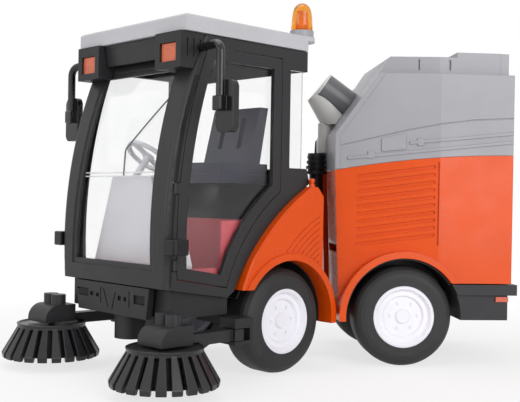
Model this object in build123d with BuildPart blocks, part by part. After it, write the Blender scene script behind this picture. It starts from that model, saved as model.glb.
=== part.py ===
"""Toy street sweeper truck: an articulated compact sweeper with a glazed cab and a tipping hopper.

Sizes are in millimetres. Each half is modelled straight in its own frame and placed once at the end:
the front half stands on the ground under its axle, with x forward and y to the left,
and the rear half stands on the ground at the steering pivot, with x towards the cab.
"""
from build123d import *
import os
from math import atan2, degrees, sqrt

# Placing of the two halves
AXLE_X = 38.35
AXLE_Y = -22.53
ARTICULATION = 38.9
PIVOT_BEHIND_AXLE = 54.5
REAR_AXLE_BEHIND_PIVOT = 70.2

# Clearances
RUN_GAP = 0.06
SIDE_GAP = 0.4
SEAT_GAP = 0.15
SHUT_GAP = 0.5

# Wheels and axles
TYRE_D = 64.0
TYRE_W = 24.0
TYRE_SHOULDER = 7.0
SHOULDER_STEPS = 4
WHEEL_FACE_Y = 54.1
RIM_R = 19.8
RIM_LIP = 2.0
RIM_INSET = 0.6
RIM_DISH = 4.0
RIM_WEB_T = 3.0
RIM_STEP_R = 13.4
HUB_R = 5.0
DIMPLES = 6
DIMPLE_R = 1.1
DIMPLE_RING_R = 8.8
DIMPLE_DEPTH = 0.6
AXLE_R = 2.5

# Cab shell
CAB_HALF_W = 51.5
CAB_WALL = 3.0
CAB_FRONT_X = 90.0
CAB_REAR_X = -18.5
CAB_SILL_Z = 56.0
CAB_TOP_Z = 197.6
CAB_CORNER_R = 2.5
SCREEN_HALF_W = 37.5
SCREEN_LOW_Z = 68.5
SCREEN_HIGH_Z = 178.0
REAR_PANE_LOW_Z = 125.0
REAR_PANE_HIGH_Z = 185.0
REAR_PANE_FRONT_X = -3.8
REBATE_W = 3.2
REBATE_DEPTH = 0.8
PANE = 1.4

# Doors
DOOR_TOP_Z = 191.0
DOOR_REAR_X = 3.0
DOOR_RIM = 7.0
DOOR_PANE_LAP = 1.6
HINGE_X = 83.6
HINGE_INSET = 1.0
HINGE_R = 1.6
HINGE_PIN_R = 0.8
HINGE_H = 6.0
HINGE_LOW_ZS = (66.0, 108.0)

# Roof and beacon
ROOF_W = 105.7
ROOF_L = 96.8
ROOF_T = 9.3
ROOF_TOP_Z = 207.1
ROOF_FRONT_X = 79.4
ROOF_BEVEL = 1.2
BEACON_X = -19.5
BEACON_INSET = 7.85
BEACON_BASE_R = 7.5
BEACON_BASE_H = 4.0
BEACON_R = 6.4
BEACON_TOP_R = 5.2
BEACON_H = 18.5
BEACON_TAB_R = 8.2

# Roof lamps
LAMP_FRONT_X = 82.0
LAMP_BACK_X = 63.0
LAMP_W = 22.6
LAMP_LOW_Z = 177.5
LAMP_LENS_W = 14.6
LAMP_LENS_H = 10.4
LAMP_RECESS = 3.0
VENT_XS = (68.0, 72.5, 77.0)
VENT_W = 1.2
VENT_LOW_Z = 184.0
VENT_HIGH_Z = 194.0
VENT_DEPTH = 1.0

# Front arches
FRONT_ARCH_R = 37.0
ARCH_LIP = 4.3
FENDER_FACE_Y = CAB_HALF_W + 4.5
FENDER_LIP_Y = CAB_HALF_W + 5.8
FENDER_IN_Y = CAB_HALF_W - 5.5
FENDER_FOOT_Z = 53.0
FENDER_TAIL_Z = 28.0
FENDER_REAR_X = -30.5
FENDER_TOP_Z = 113.0
FENDER_ROUND = 1.2
FENDER_GROOVES = 8
FENDER_GROOVE_R = 83.5
FENDER_GROOVE_PITCH = 3.43
FENDER_GROOVE_W = 0.7
FENDER_GROOVE_DEPTH = 0.5
FENDER_BOW_X = -61.6
FENDER_BOW_Z = 19.4
FENDER_BAND_X = -27.0

# Front chassis
CHASSIS_HALF_W = 26.0
BEAM_FRONT_X = 85.5
BEAM_LOW_Z = 40.0
BEAM_HIGH_Z = 48.5
BEARER_HALF_L = 6.0
BEARER_LOW_Z = 27.0
NECK_HALF_W = 8.0
FORK_T = 4.5
PIVOT_R = 3.0
EYE_LOW_Z = 27.5
EYE_HIGH_Z = 36.5
SKIRT_HALF_W = 48.0
SKIRT_BACK_X = 42.0
SKIRT_FRONT_X = 84.0
SKIRT_LOW_Z = 39.0
SKIRT_HIGH_Z = 60.0

# Front plate and suction pipe
PLATE_HALF_W = 36.6
PLATE_LOW_Z = 38.0
PLATE_HIGH_Z = 55.3
PLATE_T = 4.0
PLATE_TAPER = 2.4
PLATE_CUT = 1.4
# Cut-outs of the front plate: middle y, middle z, width, height, turn in degrees
PLATE_CUTS = (
    (-29.7, 48.4, 12.2, 4.8, 0),
    (-20.1, 48.0, 3.6, 2.4, 0),
    (-13.9, 47.7, 3.0, 2.2, 0),
    (-10.5, 48.0, 0.9, 9.4, 0),
    (-5.4, 46.8, 11.8, 0.9, -64),
    (2.7, 45.6, 10.8, 0.9, 72),
    (8.4, 47.7, 3.3, 2.6, 0),
    (14.0, 47.6, 2.8, 2.4, 0),
    (18.0, 47.8, 0.9, 9.0, 0),
    (27.5, 48.3, 10.5, 5.0, 0),
)
PIPE_X = 75.0
PIPE_R = 9.7
PIPE_WALL = 1.5
PIPE_LOW_Z = 23.0

# Brushes and their arms
BRUSH_X = 94.1
BRUSH_Y = 57.7
BRUSH_TIP_R = 29.7
BRUSH_TOP_R = 20.0
BRUSH_LOW_Z = 6.4
BRUSH_TOP_Z = 27.0
BRUSH_TINES = 22
BRUSH_WALL = 2.6
TINE_GAP = 2.4
BRUSH_HUB_R = 5.5
SPINDLE_R = 2.0
ARM_ROOT_X = 41.0
ARM_ROOT_Y = 55.0
ARM_LOW_Z = 25.5
ARM_HIGH_Z = 32.0
ARM_W = 8.0
ROOT_HALF_W = 6.5
ROOT_FRONT_X = 47.5
ROOT_BACK_X = 34.0
ROOT_LOW_Z = 23.0
ROOT_HIGH_Z = 38.0
ROOT_WEB = 2.0
ARM_PIN_R = 1.8
HEAD_HALF = 10.5
HEAD_LOW_Z = 28.0
HEAD_HIGH_Z = 38.5
KNOB_R = 4.3
KNOB_HIGH_Z = 44.5

# Mirrors and marker lamps
MIRROR_X = 72.4
MIRROR_REACH = 22.3
MIRROR_W = 14.0
MIRROR_T = 4.0
MIRROR_OFFSET = 2.0
MIRROR_LOW_Z = 141.5
MIRROR_HIGH_Z = 169.5
MIRROR_ARM_R = 2.4
MIRROR_ARM_Z = 189.5
MIRROR_BEND_R = 6.0
MARKER_LOW_Z = 75.0
MARKER_H = 8.6
MARKER_OUT = 10.0
MARKER_BACK_X = 84.6
MARKER_FRONT_X = 92.5
MARKER_ROUND = 2.6

# Inside the cab
TUB_WALL = 2.0
TUB_GAP = 0.3
TUB_HIGH_Z = 93.0
TUB_STEP_X = 46.0
TUB_STEP_Z = 66.0
SEAT_X = -1.0
SEAT_HALF_W = 22.0
SEAT_BASE_Z = 115.15
SEAT_CUSHION_Z = 128.0
SEAT_HIGH_Z = 164.0
SEAT_SLOT_Y = 9.0
SEAT_SLOT_W = 4.0
DASH_X = 76.0
CONSOLE_DEPTH = 16.0
CONSOLE_HALF_W = CAB_HALF_W - 14.5
CONSOLE_TOP_HALF_W = 19.0
CONSOLE_WAIST_Z = 67.0
CONSOLE_TOP_Z = 118.0
WHEEL_RING_R = 14.3
WHEEL_X = 64.5
WHEEL_Z = 129.0

# Hopper
HOPPER_HALF_W = 54.0
HOPPER_NOSE_HALF_W = 45.0
HOPPER_BEND_X = -92.0
HOPPER_REAR_X = -140.0
HOPPER_FRONT_X = -25.5
HOPPER_RAKE = 4.0
HOPPER_WALL = 2.0
HOPPER_FLOOR_Z = 70.0
HOPPER_FOOT_Z = 53.7
SKIRT_FOOT_Z = 29.0
NOTCH_HALF_W = 12.0
NOTCH_DEPTH = 5.5
REAR_ARCH_R = 37.5
REAR_FLARE_Y = 55.0
SEAM_FRONT_Z = 125.2
SEAM_MID_Z = 133.3
SEAM_REAR_Z = 136.3

# Hopper cover
COVER_KNEE_Z = 149.0
LEDGE_FRONT_X = -53.0
LEDGE_Z = 188.0
CROWN_FRONT_X = -61.0
CROWN_Z = 199.6
CROWN_INSET = 7.0
BLOCK_FRONT_X = -104.0
BLOCK_Z = 202.8

# Louvres, rails and grooves of the hopper's sides
LOUVRES = 10
LOUVRE_PITCH = 4.85
LOUVRE_REAR_X = -89.2
LOUVRE_FRONT_X = -39.5
LOUVRE_HIGH_Z = 128.2
LOUVRE_FALL = 7.0
LOUVRE_W = 2.2
LOUVRE_DEPTH = 0.9
POST_LINE_X = -91.2
POST_LINE_W = 0.8
POST_LINE_LOW_Z = 78.0
POST_LINE_HIGH_Z = 131.0
RAIL_PROUD = 0.8
RAIL_T = 1.8
FLANGE_W = 3.2
FLANGE_PROUD = 0.6
CREASE_T = 0.8
CREASE_DEPTH = 0.5
# Crease and rails: x and z of each corner of their upper edges
CREASE_LINE = ((-28.1, 141.3), (-69.5, 151.5), (-92.0, 156.0), (-113.9, 159.0), (-139.4, 160.6))
LOW_RAIL_LINE = ((-33.5, 133.9), (-139.6, 145.8))
HIGH_RAIL_LINE = ((-72.5, 144.2), (-139.5, 151.3))
PANEL_CORNERS = ((-54.7, 145.8), (-54.8, 137.6), (-70.3, 139.2), (-70.1, 149.3))
# Clamps that hold the rails: x, z, length, height
CLAMPS = ((-48.2, 135.4, 4.0, 4.6), (-79.4, 143.9, 4.0, 4.6))
# Upright slots in the crown's sides: x, width, lowest z, highest z
CROWN_SLOTS = ((-79.4, 0.8, 191.0, 198.0), (-99.3, 1.4, 191.0, 197.6))
CROWN_SLOT_DEPTH = 1.2

# Intake duct
RISER_X = -20.0
RISER_R = 4.8
BELLOWS_R = 7.6
BELLOWS_LOW_Z = 123.5
BELLOWS_HIGH_Z = 137.8
BELLOWS_RIBS = 4
SPIKE_X = -19.2
SPIKE_R = 0.8
SPIKE_H = 8.4
DUCT_R = 11.4
DUCT_L = 21.5
DUCT_UP_SLOPE = 26.0
CAP_T = 1.2
HOOD_R = 10.0
HOOD_TIP_X = -13.1
HOOD_TIP_Z = 174.2
HOOD_FOOT_X = -22.7
HOOD_FOOT_Z = 157.6
TUBE_X = -25.7
TUBE_R = 5.0
TUBE_LOW_Z = 138.3

# Rear chassis and bumper
REAR_BEAM_FRONT_X = -38.0
REAR_BEAM_REAR_X = -137.0
REAR_BEAM_LOW_Z = 34.0
REAR_BEAM_HIGH_Z = 46.0
PAD_X = -52.0
PAD_L = 16.0
BUMPER_REAR_X = -144.0
BUMPER_FRONT_X = -99.5
BUMPER_BAR_LOW_Z = 46.2
BUMPER_BAR_HIGH_Z = 53.0
BUMPER_LOW_Z = 30.0
BLOCK_REAR_X = -138.5
BLOCK_HALF_W = 52.0
TAIL_LAMP_L = 8.2
TAIL_LAMP_H = 3.2
TAIL_LAMP_LOW_Z = 42.0

# Tipping hinge and rear door
TIP_X = -138.6
TIP_Z = 55.2
TIP_BARREL_R = 1.6
TIP_PIN_R = 0.7
TIP_Y = 27.0
TIP_BARREL_L = 6.0
FLAP_HALF_W = 44.0
FLAP_LOW_Z = 61.0
FLAP_HIGH_Z = 122.0
FLAP_T = 2.0
FLAP_EAR_Y = 34.0
FLAP_EAR_L = 6.0
FLAP_LUG_T = 2.0
FLAP_HINGE_X = -141.9
FLAP_HINGE_Z = 123.6
FLAP_BARREL_R = 1.5
FLAP_PIN_R = 0.7

wheel_r = TYRE_D / 2
wheel_mid_y = WHEEL_FACE_Y - TYRE_W / 2
cab_in_y = CAB_HALF_W - CAB_WALL
hinge_y = CAB_HALF_W - HINGE_INSET
lamp_out_y = CAB_HALF_W - SIDE_GAP
lamp_mid_y = lamp_out_y - LAMP_W / 2
mirror_y = CAB_HALF_W + MIRROR_REACH
beacon_y = ROOF_W / 2 - BEACON_INSET
roof_low_z = ROOF_TOP_Z - ROOF_T
roof_rear_x = ROOF_FRONT_X - ROOF_L


def across(y):
    """The x-z plane at y, with its sketch seen from the left-hand side turned to the front."""
    return Plane(origin=(0, y, 0), x_dir=(1, 0, 0), z_dir=(0, -1, 0))


def facing(x):
    """The y-z plane at x."""
    return Plane(origin=(x, 0, 0), x_dir=(0, 1, 0), z_dir=(1, 0, 0))


def slab(outline, low_y, high_y, grow=0.0, mode=Mode.ADD):
    """Extrudes an x-z outline between two y planes, grown or shrunk all round."""
    face = outline.sketch
    if grow:
        face = offset(face, grow, kind=Kind.INTERSECTION, mode=Mode.PRIVATE)
    with BuildSketch(across(high_y), mode=Mode.PRIVATE) as section:
        add(face)
    extrude(section.sketch, amount=high_y - low_y, mode=mode)


def block(low, high, mode=Mode.ADD):
    """A box between two corners."""
    size = [b - a for a, b in zip(low, high)]
    with Locations(tuple((a + b) / 2 for a, b in zip(low, high))):
        Box(*size, mode=mode)


def post(x, y, low_z, high_z, radius, mode=Mode.ADD):
    """An upright cylinder."""
    with Locations((x, y, (low_z + high_z) / 2)):
        Cylinder(radius, high_z - low_z, mode=mode)


def rod(x, z, low_y, high_y, radius, mode=Mode.ADD):
    """A cylinder along y."""
    with BuildSketch(across(high_y), mode=Mode.PRIVATE) as section:
        with Locations((x, z)):
            Circle(radius)
    extrude(section.sketch, amount=high_y - low_y, mode=mode)


# Tyre with rounded shoulders and a smooth tread
def make_tyre(x, side):
    half = TYRE_W / 2
    flat = wheel_r - TYRE_SHOULDER
    with BuildPart() as tyre:
        with BuildSketch(Plane(origin=(x, side * wheel_mid_y, wheel_r), x_dir=(0, 1, 0), z_dir=(1, 0, 0))):
            with BuildLine():
                steps = [90 * k / SHOULDER_STEPS for k in range(SHOULDER_STEPS + 1)]
                shoulder = [Vector(TYRE_SHOULDER).rotate(Axis.Z, angle) for angle in steps]
                right = [(half - TYRE_SHOULDER + p.X, flat + p.Y) for p in shoulder]
                left = [(-y, z) for y, z in reversed(right)]
                Polyline((-half, RIM_R), (half, RIM_R), *right, *left, close=True)
            make_face()
        revolve(axis=Axis((x, 0, wheel_r), (0, 1, 0)))
    return tyre.part


# Rim: a dished disc with a stepped ring, a centre cap and a blind bore for the axle
def make_rim(x, side):
    out = RIM_R - 0.05
    face = TYRE_W / 2 - RIM_INSET
    web = face - RIM_DISH
    seat = web - RIM_WEB_T
    cap = web + 1.6
    ring = web + 1.5
    with BuildPart() as rim:
        with BuildSketch(Plane(origin=(x, side * wheel_mid_y, wheel_r), x_dir=(0, side, 0),
                               z_dir=(side, 0, 0))):
            with BuildLine():
                Polyline(
                    (3 - face, out),
                    (face, out),
                    (face, out - RIM_LIP),
                    (ring, out - RIM_LIP - 1.5),
                    (ring, RIM_STEP_R),
                    (web, RIM_STEP_R - 1),
                    (web, HUB_R),
                    (cap, HUB_R - 0.8),
                    (cap, 0),
                    (seat, 0),
                    (seat, AXLE_R + RUN_GAP),
                    (-face, AXLE_R + RUN_GAP),
                    (-face, HUB_R),
                    (seat, HUB_R),
                    (seat, out - 3),
                    (3 - face, out - 3),
                    close=True,
                )
            make_face()
        revolve(axis=Axis((x, 0, wheel_r), (0, 1, 0)))
        low_y, high_y = sorted((side * (wheel_mid_y + web - DIMPLE_DEPTH), side * (wheel_mid_y + face)))
        for k in range(DIMPLES):
            spot = Vector(DIMPLE_RING_R).rotate(Axis.Z, 360 * k / DIMPLES)
            rod(x + spot.X, wheel_r + spot.Y, low_y, high_y, DIMPLE_R, Mode.SUBTRACT)
    return rim.part


def make_axle(x):
    reach = WHEEL_FACE_Y - RIM_INSET - RIM_DISH - RIM_WEB_T - SIDE_GAP
    with BuildPart() as axle:
        rod(x, wheel_r, -reach, reach, AXLE_R)
    return axle.part


front = {}
rear = {}
for side, hand in ((1, "left"), (-1, "right")):
    front["front_tyre_" + hand] = make_tyre(0, side)
    front["front_rim_" + hand] = make_rim(0, side)
    rear["rear_tyre_" + hand] = make_tyre(-REAR_AXLE_BEHIND_PIVOT, side)
    rear["rear_rim_" + hand] = make_rim(-REAR_AXLE_BEHIND_PIVOT, side)
front["front_axle"] = make_axle(0)
rear["rear_axle"] = make_axle(-REAR_AXLE_BEHIND_PIVOT)

# Side outlines of the cab, its door and the door's window
with BuildSketch() as cab_outline:
    with BuildLine():
        bow = ThreePointArc((CAB_FRONT_X, CAB_SILL_Z), (87.5, 121), (71.5, 180))
        brow = bow @ 1 + bow % 1 * ((CAB_TOP_Z - (bow @ 1).Y) / (bow % 1).Y)
        Line(bow @ 1, brow)
        Line(brow, (CAB_REAR_X, CAB_TOP_Z))
        Line((CAB_REAR_X, CAB_TOP_Z), (CAB_REAR_X, 127))
        Line((CAB_REAR_X, 127), (-22, 116))
        Line((-22, 116), (-17, 112.5))
        ThreePointArc((-17, 112.5), (19, 83.5), (40, 52.5))
        Line((40, 52.5), (45, 49))
        Line((45, 49), (CAB_FRONT_X, CAB_SILL_Z))
    make_face()

with BuildSketch() as door_outline:
    with BuildLine():
        ThreePointArc((82, 61), (79.6, 125), (62.5, DOOR_TOP_Z))
        Line((62.5, DOOR_TOP_Z), (DOOR_REAR_X, DOOR_TOP_Z))
        Line((DOOR_REAR_X, DOOR_TOP_Z), (DOOR_REAR_X, 110.5))
        ThreePointArc((DOOR_REAR_X, 110.5), (29, 86.2), (45.5, 54.5))
        Line((45.5, 54.5), (82, 61))
    make_face()

# Shallow rebate round the windscreen
with BuildPart() as screen_rebate:
    slab(cab_outline, -SCREEN_HALF_W - REBATE_W, SCREEN_HALF_W + REBATE_W, 1)
    slab(cab_outline, -60, 60, -REBATE_DEPTH, Mode.SUBTRACT)
    with BuildSketch(facing(CAB_FRONT_X + 5)):
        with BuildLine():
            Polyline(
                (-SCREEN_HALF_W - REBATE_W, SCREEN_LOW_Z - REBATE_W),
                (SCREEN_HALF_W + REBATE_W, SCREEN_LOW_Z - REBATE_W),
                (SCREEN_HALF_W + REBATE_W - 3, SCREEN_HIGH_Z + REBATE_W),
                (3 - SCREEN_HALF_W - REBATE_W, SCREEN_HIGH_Z + REBATE_W),
                close=True,
            )
        make_face()
    extrude(amount=-40, mode=Mode.INTERSECT)

# Cab frame: a hollow shell with its doors, windscreen and rear corner panes cut out
with BuildPart() as cab_frame:
    slab(cab_outline, -CAB_HALF_W, CAB_HALF_W)
    nose_edges = [
        e for e in cab_frame.edges()
        if abs(abs(e.center().Y) - CAB_HALF_W) < 0.01
        and e.center().X > brow.X and e.center().Z > CAB_SILL_Z + 4
    ]
    fillet(nose_edges, CAB_CORNER_R)
    slab(cab_outline, -cab_in_y, cab_in_y, -CAB_WALL, Mode.SUBTRACT)
    slab(door_outline, -CAB_HALF_W - 1, CAB_HALF_W + 1, 0.0, Mode.SUBTRACT)
    block((CAB_REAR_X - 5, -60, REAR_PANE_LOW_Z), (REAR_PANE_FRONT_X, 60, REAR_PANE_HIGH_Z), Mode.SUBTRACT)
    with BuildSketch(facing(CAB_FRONT_X + 5)):
        with BuildLine():
            Polyline(
                (-SCREEN_HALF_W, SCREEN_LOW_Z),
                (SCREEN_HALF_W, SCREEN_LOW_Z),
                (SCREEN_HALF_W - 3, SCREEN_HIGH_Z),
                (3 - SCREEN_HALF_W, SCREEN_HIGH_Z),
                close=True,
            )
        make_face()
    extrude(amount=-50, mode=Mode.SUBTRACT)
    add(screen_rebate.part, mode=Mode.SUBTRACT)
    for side in (1, -1):
        for low_z in HINGE_LOW_ZS:
            post(HINGE_X, side * hinge_y, low_z - SIDE_GAP, low_z + HINGE_H + SIDE_GAP, HINGE_R + SHUT_GAP,
                 Mode.SUBTRACT)
            low_y, high_y = sorted((side * (hinge_y - SIDE_GAP), side * (CAB_HALF_W + 1)))
            block((HINGE_X - DOOR_RIM, low_y, low_z - SIDE_GAP),
                  (HINGE_X + HINGE_R + SHUT_GAP, high_y, low_z + HINGE_H + SIDE_GAP), Mode.SUBTRACT)
            post(HINGE_X, side * hinge_y, low_z - 3, low_z + HINGE_H + 3, HINGE_PIN_R)
front["cab_frame"] = cab_frame.part

with BuildPart() as door_left:
    slab(door_outline, cab_in_y, CAB_HALF_W, -SHUT_GAP)
    slab(door_outline, cab_in_y - 1, CAB_HALF_W + 1, -DOOR_RIM, Mode.SUBTRACT)
    for low_z in HINGE_LOW_ZS:
        post(HINGE_X, hinge_y, low_z, low_z + HINGE_H, HINGE_R)
        block((HINGE_X - DOOR_RIM, hinge_y, low_z), (HINGE_X, hinge_y + 1, low_z + HINGE_H))
        post(HINGE_X, hinge_y, low_z, low_z + HINGE_H, HINGE_PIN_R + RUN_GAP, Mode.SUBTRACT)
with BuildPart() as door_glass_left:
    slab(door_outline, cab_in_y - PANE, cab_in_y, DOOR_PANE_LAP - DOOR_RIM)
front["door_left"] = door_left.part
front["door_glass_left"] = door_glass_left.part

with BuildPart() as windscreen:
    slab(cab_outline, -SCREEN_HALF_W - 3, SCREEN_HALF_W + 3, -CAB_WALL - SEAT_GAP)
    slab(cab_outline, -SCREEN_HALF_W - 4, SCREEN_HALF_W + 4, -CAB_WALL - SEAT_GAP - PANE, Mode.SUBTRACT)
    block((-60, -60, 30), (120, 60, SCREEN_LOW_Z - 4), Mode.SUBTRACT)
    block((-60, -60, SCREEN_HIGH_Z + 4), (120, 60, 220), Mode.SUBTRACT)
    block((-60, -60, 30), (50, 60, 220), Mode.SUBTRACT)
front["windscreen"] = windscreen.part

with BuildPart() as rear_glass:
    pane_low = REAR_PANE_LOW_Z + SEAT_GAP
    pane_high = REAR_PANE_HIGH_Z - SEAT_GAP
    front_x = REAR_PANE_FRONT_X - SEAT_GAP
    block((CAB_REAR_X + 1, 1 - CAB_HALF_W, pane_low), (front_x, CAB_HALF_W - 1, pane_high))
    fillet(rear_glass.edges().filter_by(Axis.Z).group_by(Axis.X)[0], 4)
    block((CAB_REAR_X + 1 + PANE, 1 + PANE - CAB_HALF_W, pane_low),
          (front_x, CAB_HALF_W - 1 - PANE, pane_high),
          Mode.SUBTRACT)
front["rear_glass"] = rear_glass.part

# Roof slab with a tab that carries the beacon
with BuildPart() as roof:
    block((roof_rear_x, -ROOF_W / 2, roof_low_z), (ROOF_FRONT_X, ROOF_W / 2, ROOF_TOP_Z))
    chamfer(roof.edges().group_by(Axis.Z)[-1], ROOF_BEVEL)
    post(BEACON_X, beacon_y, ROOF_TOP_Z - 3, ROOF_TOP_Z, BEACON_TAB_R)
front["roof"] = roof.part

with BuildPart() as beacon_base:
    post(BEACON_X, beacon_y, ROOF_TOP_Z + SEAT_GAP, ROOF_TOP_Z + SEAT_GAP + BEACON_BASE_H, BEACON_BASE_R)
front["beacon_base"] = beacon_base.part
beacon_low = ROOF_TOP_Z + 2 * SEAT_GAP + BEACON_BASE_H
with BuildPart() as beacon_lens:
    with BuildSketch(Plane(origin=(BEACON_X, beacon_y, beacon_low), x_dir=(1, 0, 0), z_dir=(0, -1, 0))):
        Polygon(
            (0, 0),
            (BEACON_R, 0),
            (BEACON_TOP_R, BEACON_H - 4.2),
            (BEACON_TOP_R - 0.9, BEACON_H - 1.6),
            (BEACON_TOP_R - 2.6, BEACON_H - 0.3),
            (0, BEACON_H),
            align=None,
        )
    revolve(axis=Axis((BEACON_X, beacon_y, 0), (0, 0, 1)))
front["beacon_lens"] = beacon_lens.part

# Roof lamps
lamp_high_z = roof_low_z - SEAT_GAP
lamp_mid_z = (LAMP_LOW_Z + lamp_high_z) / 2 - 1
with BuildPart() as lamp_housings:
    for side in (1, -1):
        with BuildSketch(facing(LAMP_BACK_X)):
            with Locations((side * lamp_mid_y, (LAMP_LOW_Z + lamp_high_z) / 2)):
                Rectangle(LAMP_W, lamp_high_z - LAMP_LOW_Z)
        extrude(amount=LAMP_FRONT_X - LAMP_BACK_X)
    slab(cab_outline, -60, 60, SEAT_GAP, Mode.SUBTRACT)
    for side in (1, -1):
        with BuildSketch(facing(LAMP_FRONT_X)):
            with Locations((side * lamp_mid_y, lamp_mid_z)):
                Rectangle(LAMP_LENS_W, LAMP_LENS_H)
        extrude(amount=-LAMP_RECESS, mode=Mode.SUBTRACT)
        low_y, high_y = sorted((side * (lamp_out_y - VENT_DEPTH), side * (lamp_out_y + 1)))
        for vent_x in VENT_XS:
            block((vent_x - VENT_W / 2, low_y, VENT_LOW_Z), (vent_x + VENT_W / 2, high_y, VENT_HIGH_Z),
                  Mode.SUBTRACT)
front["lamp_housings"] = lamp_housings.part
with BuildPart() as roof_lamps:
    for side in (1, -1):
        with BuildSketch(facing(LAMP_FRONT_X - LAMP_RECESS)):
            with Locations((side * lamp_mid_y, lamp_mid_z)):
                Rectangle(LAMP_LENS_W - 0.3, LAMP_LENS_H - 0.3)
        extrude(amount=LAMP_RECESS / 2)
front["roof_lamps"] = roof_lamps.part

# Front fender with its arch lip and tail
fender_arch_x = -1.4
lip_r = FRONT_ARCH_R + ARCH_LIP


def arch_x(radius, z, way):
    return fender_arch_x + way * sqrt(radius ** 2 - (z - wheel_r) ** 2)


with BuildSketch() as fender_outline:
    with BuildLine():
        Line((arch_x(FRONT_ARCH_R, FENDER_FOOT_Z, 1), FENDER_FOOT_Z), (37, FENDER_FOOT_Z))
        ThreePointArc((37, FENDER_FOOT_Z), (18.5, 86), (-18, FENDER_TOP_Z + 1))
        Line((-18, FENDER_TOP_Z + 1), (-25, FENDER_TOP_Z + 1))
        Line((-25, FENDER_TOP_Z + 1), (FENDER_REAR_X, FENDER_TOP_Z - 5))
        rear_z = wheel_r + sqrt(lip_r ** 2 - (FENDER_REAR_X - fender_arch_x) ** 2)
        Line((FENDER_REAR_X, FENDER_TOP_Z - 5), (FENDER_REAR_X, rear_z))
        mid_x = arch_x(lip_r, 45, -1)
        tail_x = arch_x(lip_r, FENDER_TAIL_Z, -1)
        ThreePointArc((FENDER_REAR_X, rear_z), (mid_x, 45), (tail_x, FENDER_TAIL_Z))
        tail_in_x = arch_x(FRONT_ARCH_R, FENDER_TAIL_Z, -1)
        Line((tail_x, FENDER_TAIL_Z), (tail_in_x, FENDER_TAIL_Z))
        ThreePointArc(
            (tail_in_x, FENDER_TAIL_Z),
            (fender_arch_x, wheel_r + FRONT_ARCH_R),
            (arch_x(FRONT_ARCH_R, FENDER_FOOT_Z, 1), FENDER_FOOT_Z),
        )
    make_face()

# Grooves that follow the fender's bowed front edge
with BuildPart() as fender_grooves:
    with BuildSketch(across(FENDER_FACE_Y + 1)):
        with Locations((FENDER_BOW_X, FENDER_BOW_Z)):
            for k in range(FENDER_GROOVES):
                groove_r = FENDER_GROOVE_R - k * FENDER_GROOVE_PITCH
                Circle(groove_r + FENDER_GROOVE_W / 2)
                Circle(groove_r - FENDER_GROOVE_W / 2, mode=Mode.SUBTRACT)
    extrude(amount=1 + FENDER_GROOVE_DEPTH)
    rod(fender_arch_x, wheel_r, FENDER_IN_Y - 6, FENDER_FACE_Y + 4, lip_r + FENDER_GROOVE_W, Mode.SUBTRACT)
    block((FENDER_BAND_X, FENDER_IN_Y - 6, FENDER_FOOT_Z), (60, FENDER_FACE_Y + 4, FENDER_TOP_Z + 20),
          Mode.INTERSECT)

with BuildPart() as fender_lip:
    slab(fender_outline, FENDER_FACE_Y - 2, FENDER_LIP_Y)
    rod(fender_arch_x, wheel_r, FENDER_IN_Y - 6, FENDER_FACE_Y + 4, lip_r, Mode.INTERSECT)

with BuildPart() as fender_left:
    slab(fender_outline, FENDER_IN_Y, FENDER_FACE_Y)
    crest = [
        e for e in fender_left.edges()
        if abs(e.center().Y - FENDER_FACE_Y) < 0.01 and e.center().Z > 78 and e.center().X > -26
    ]
    fillet(crest, FENDER_ROUND)
    add(fender_grooves.part, mode=Mode.SUBTRACT)
    add(fender_lip.part)
    slab(cab_outline, FENDER_IN_Y - 1, FENDER_LIP_Y + 1, SEAT_GAP, Mode.SUBTRACT)
front["fender_left"] = fender_left.part

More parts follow.
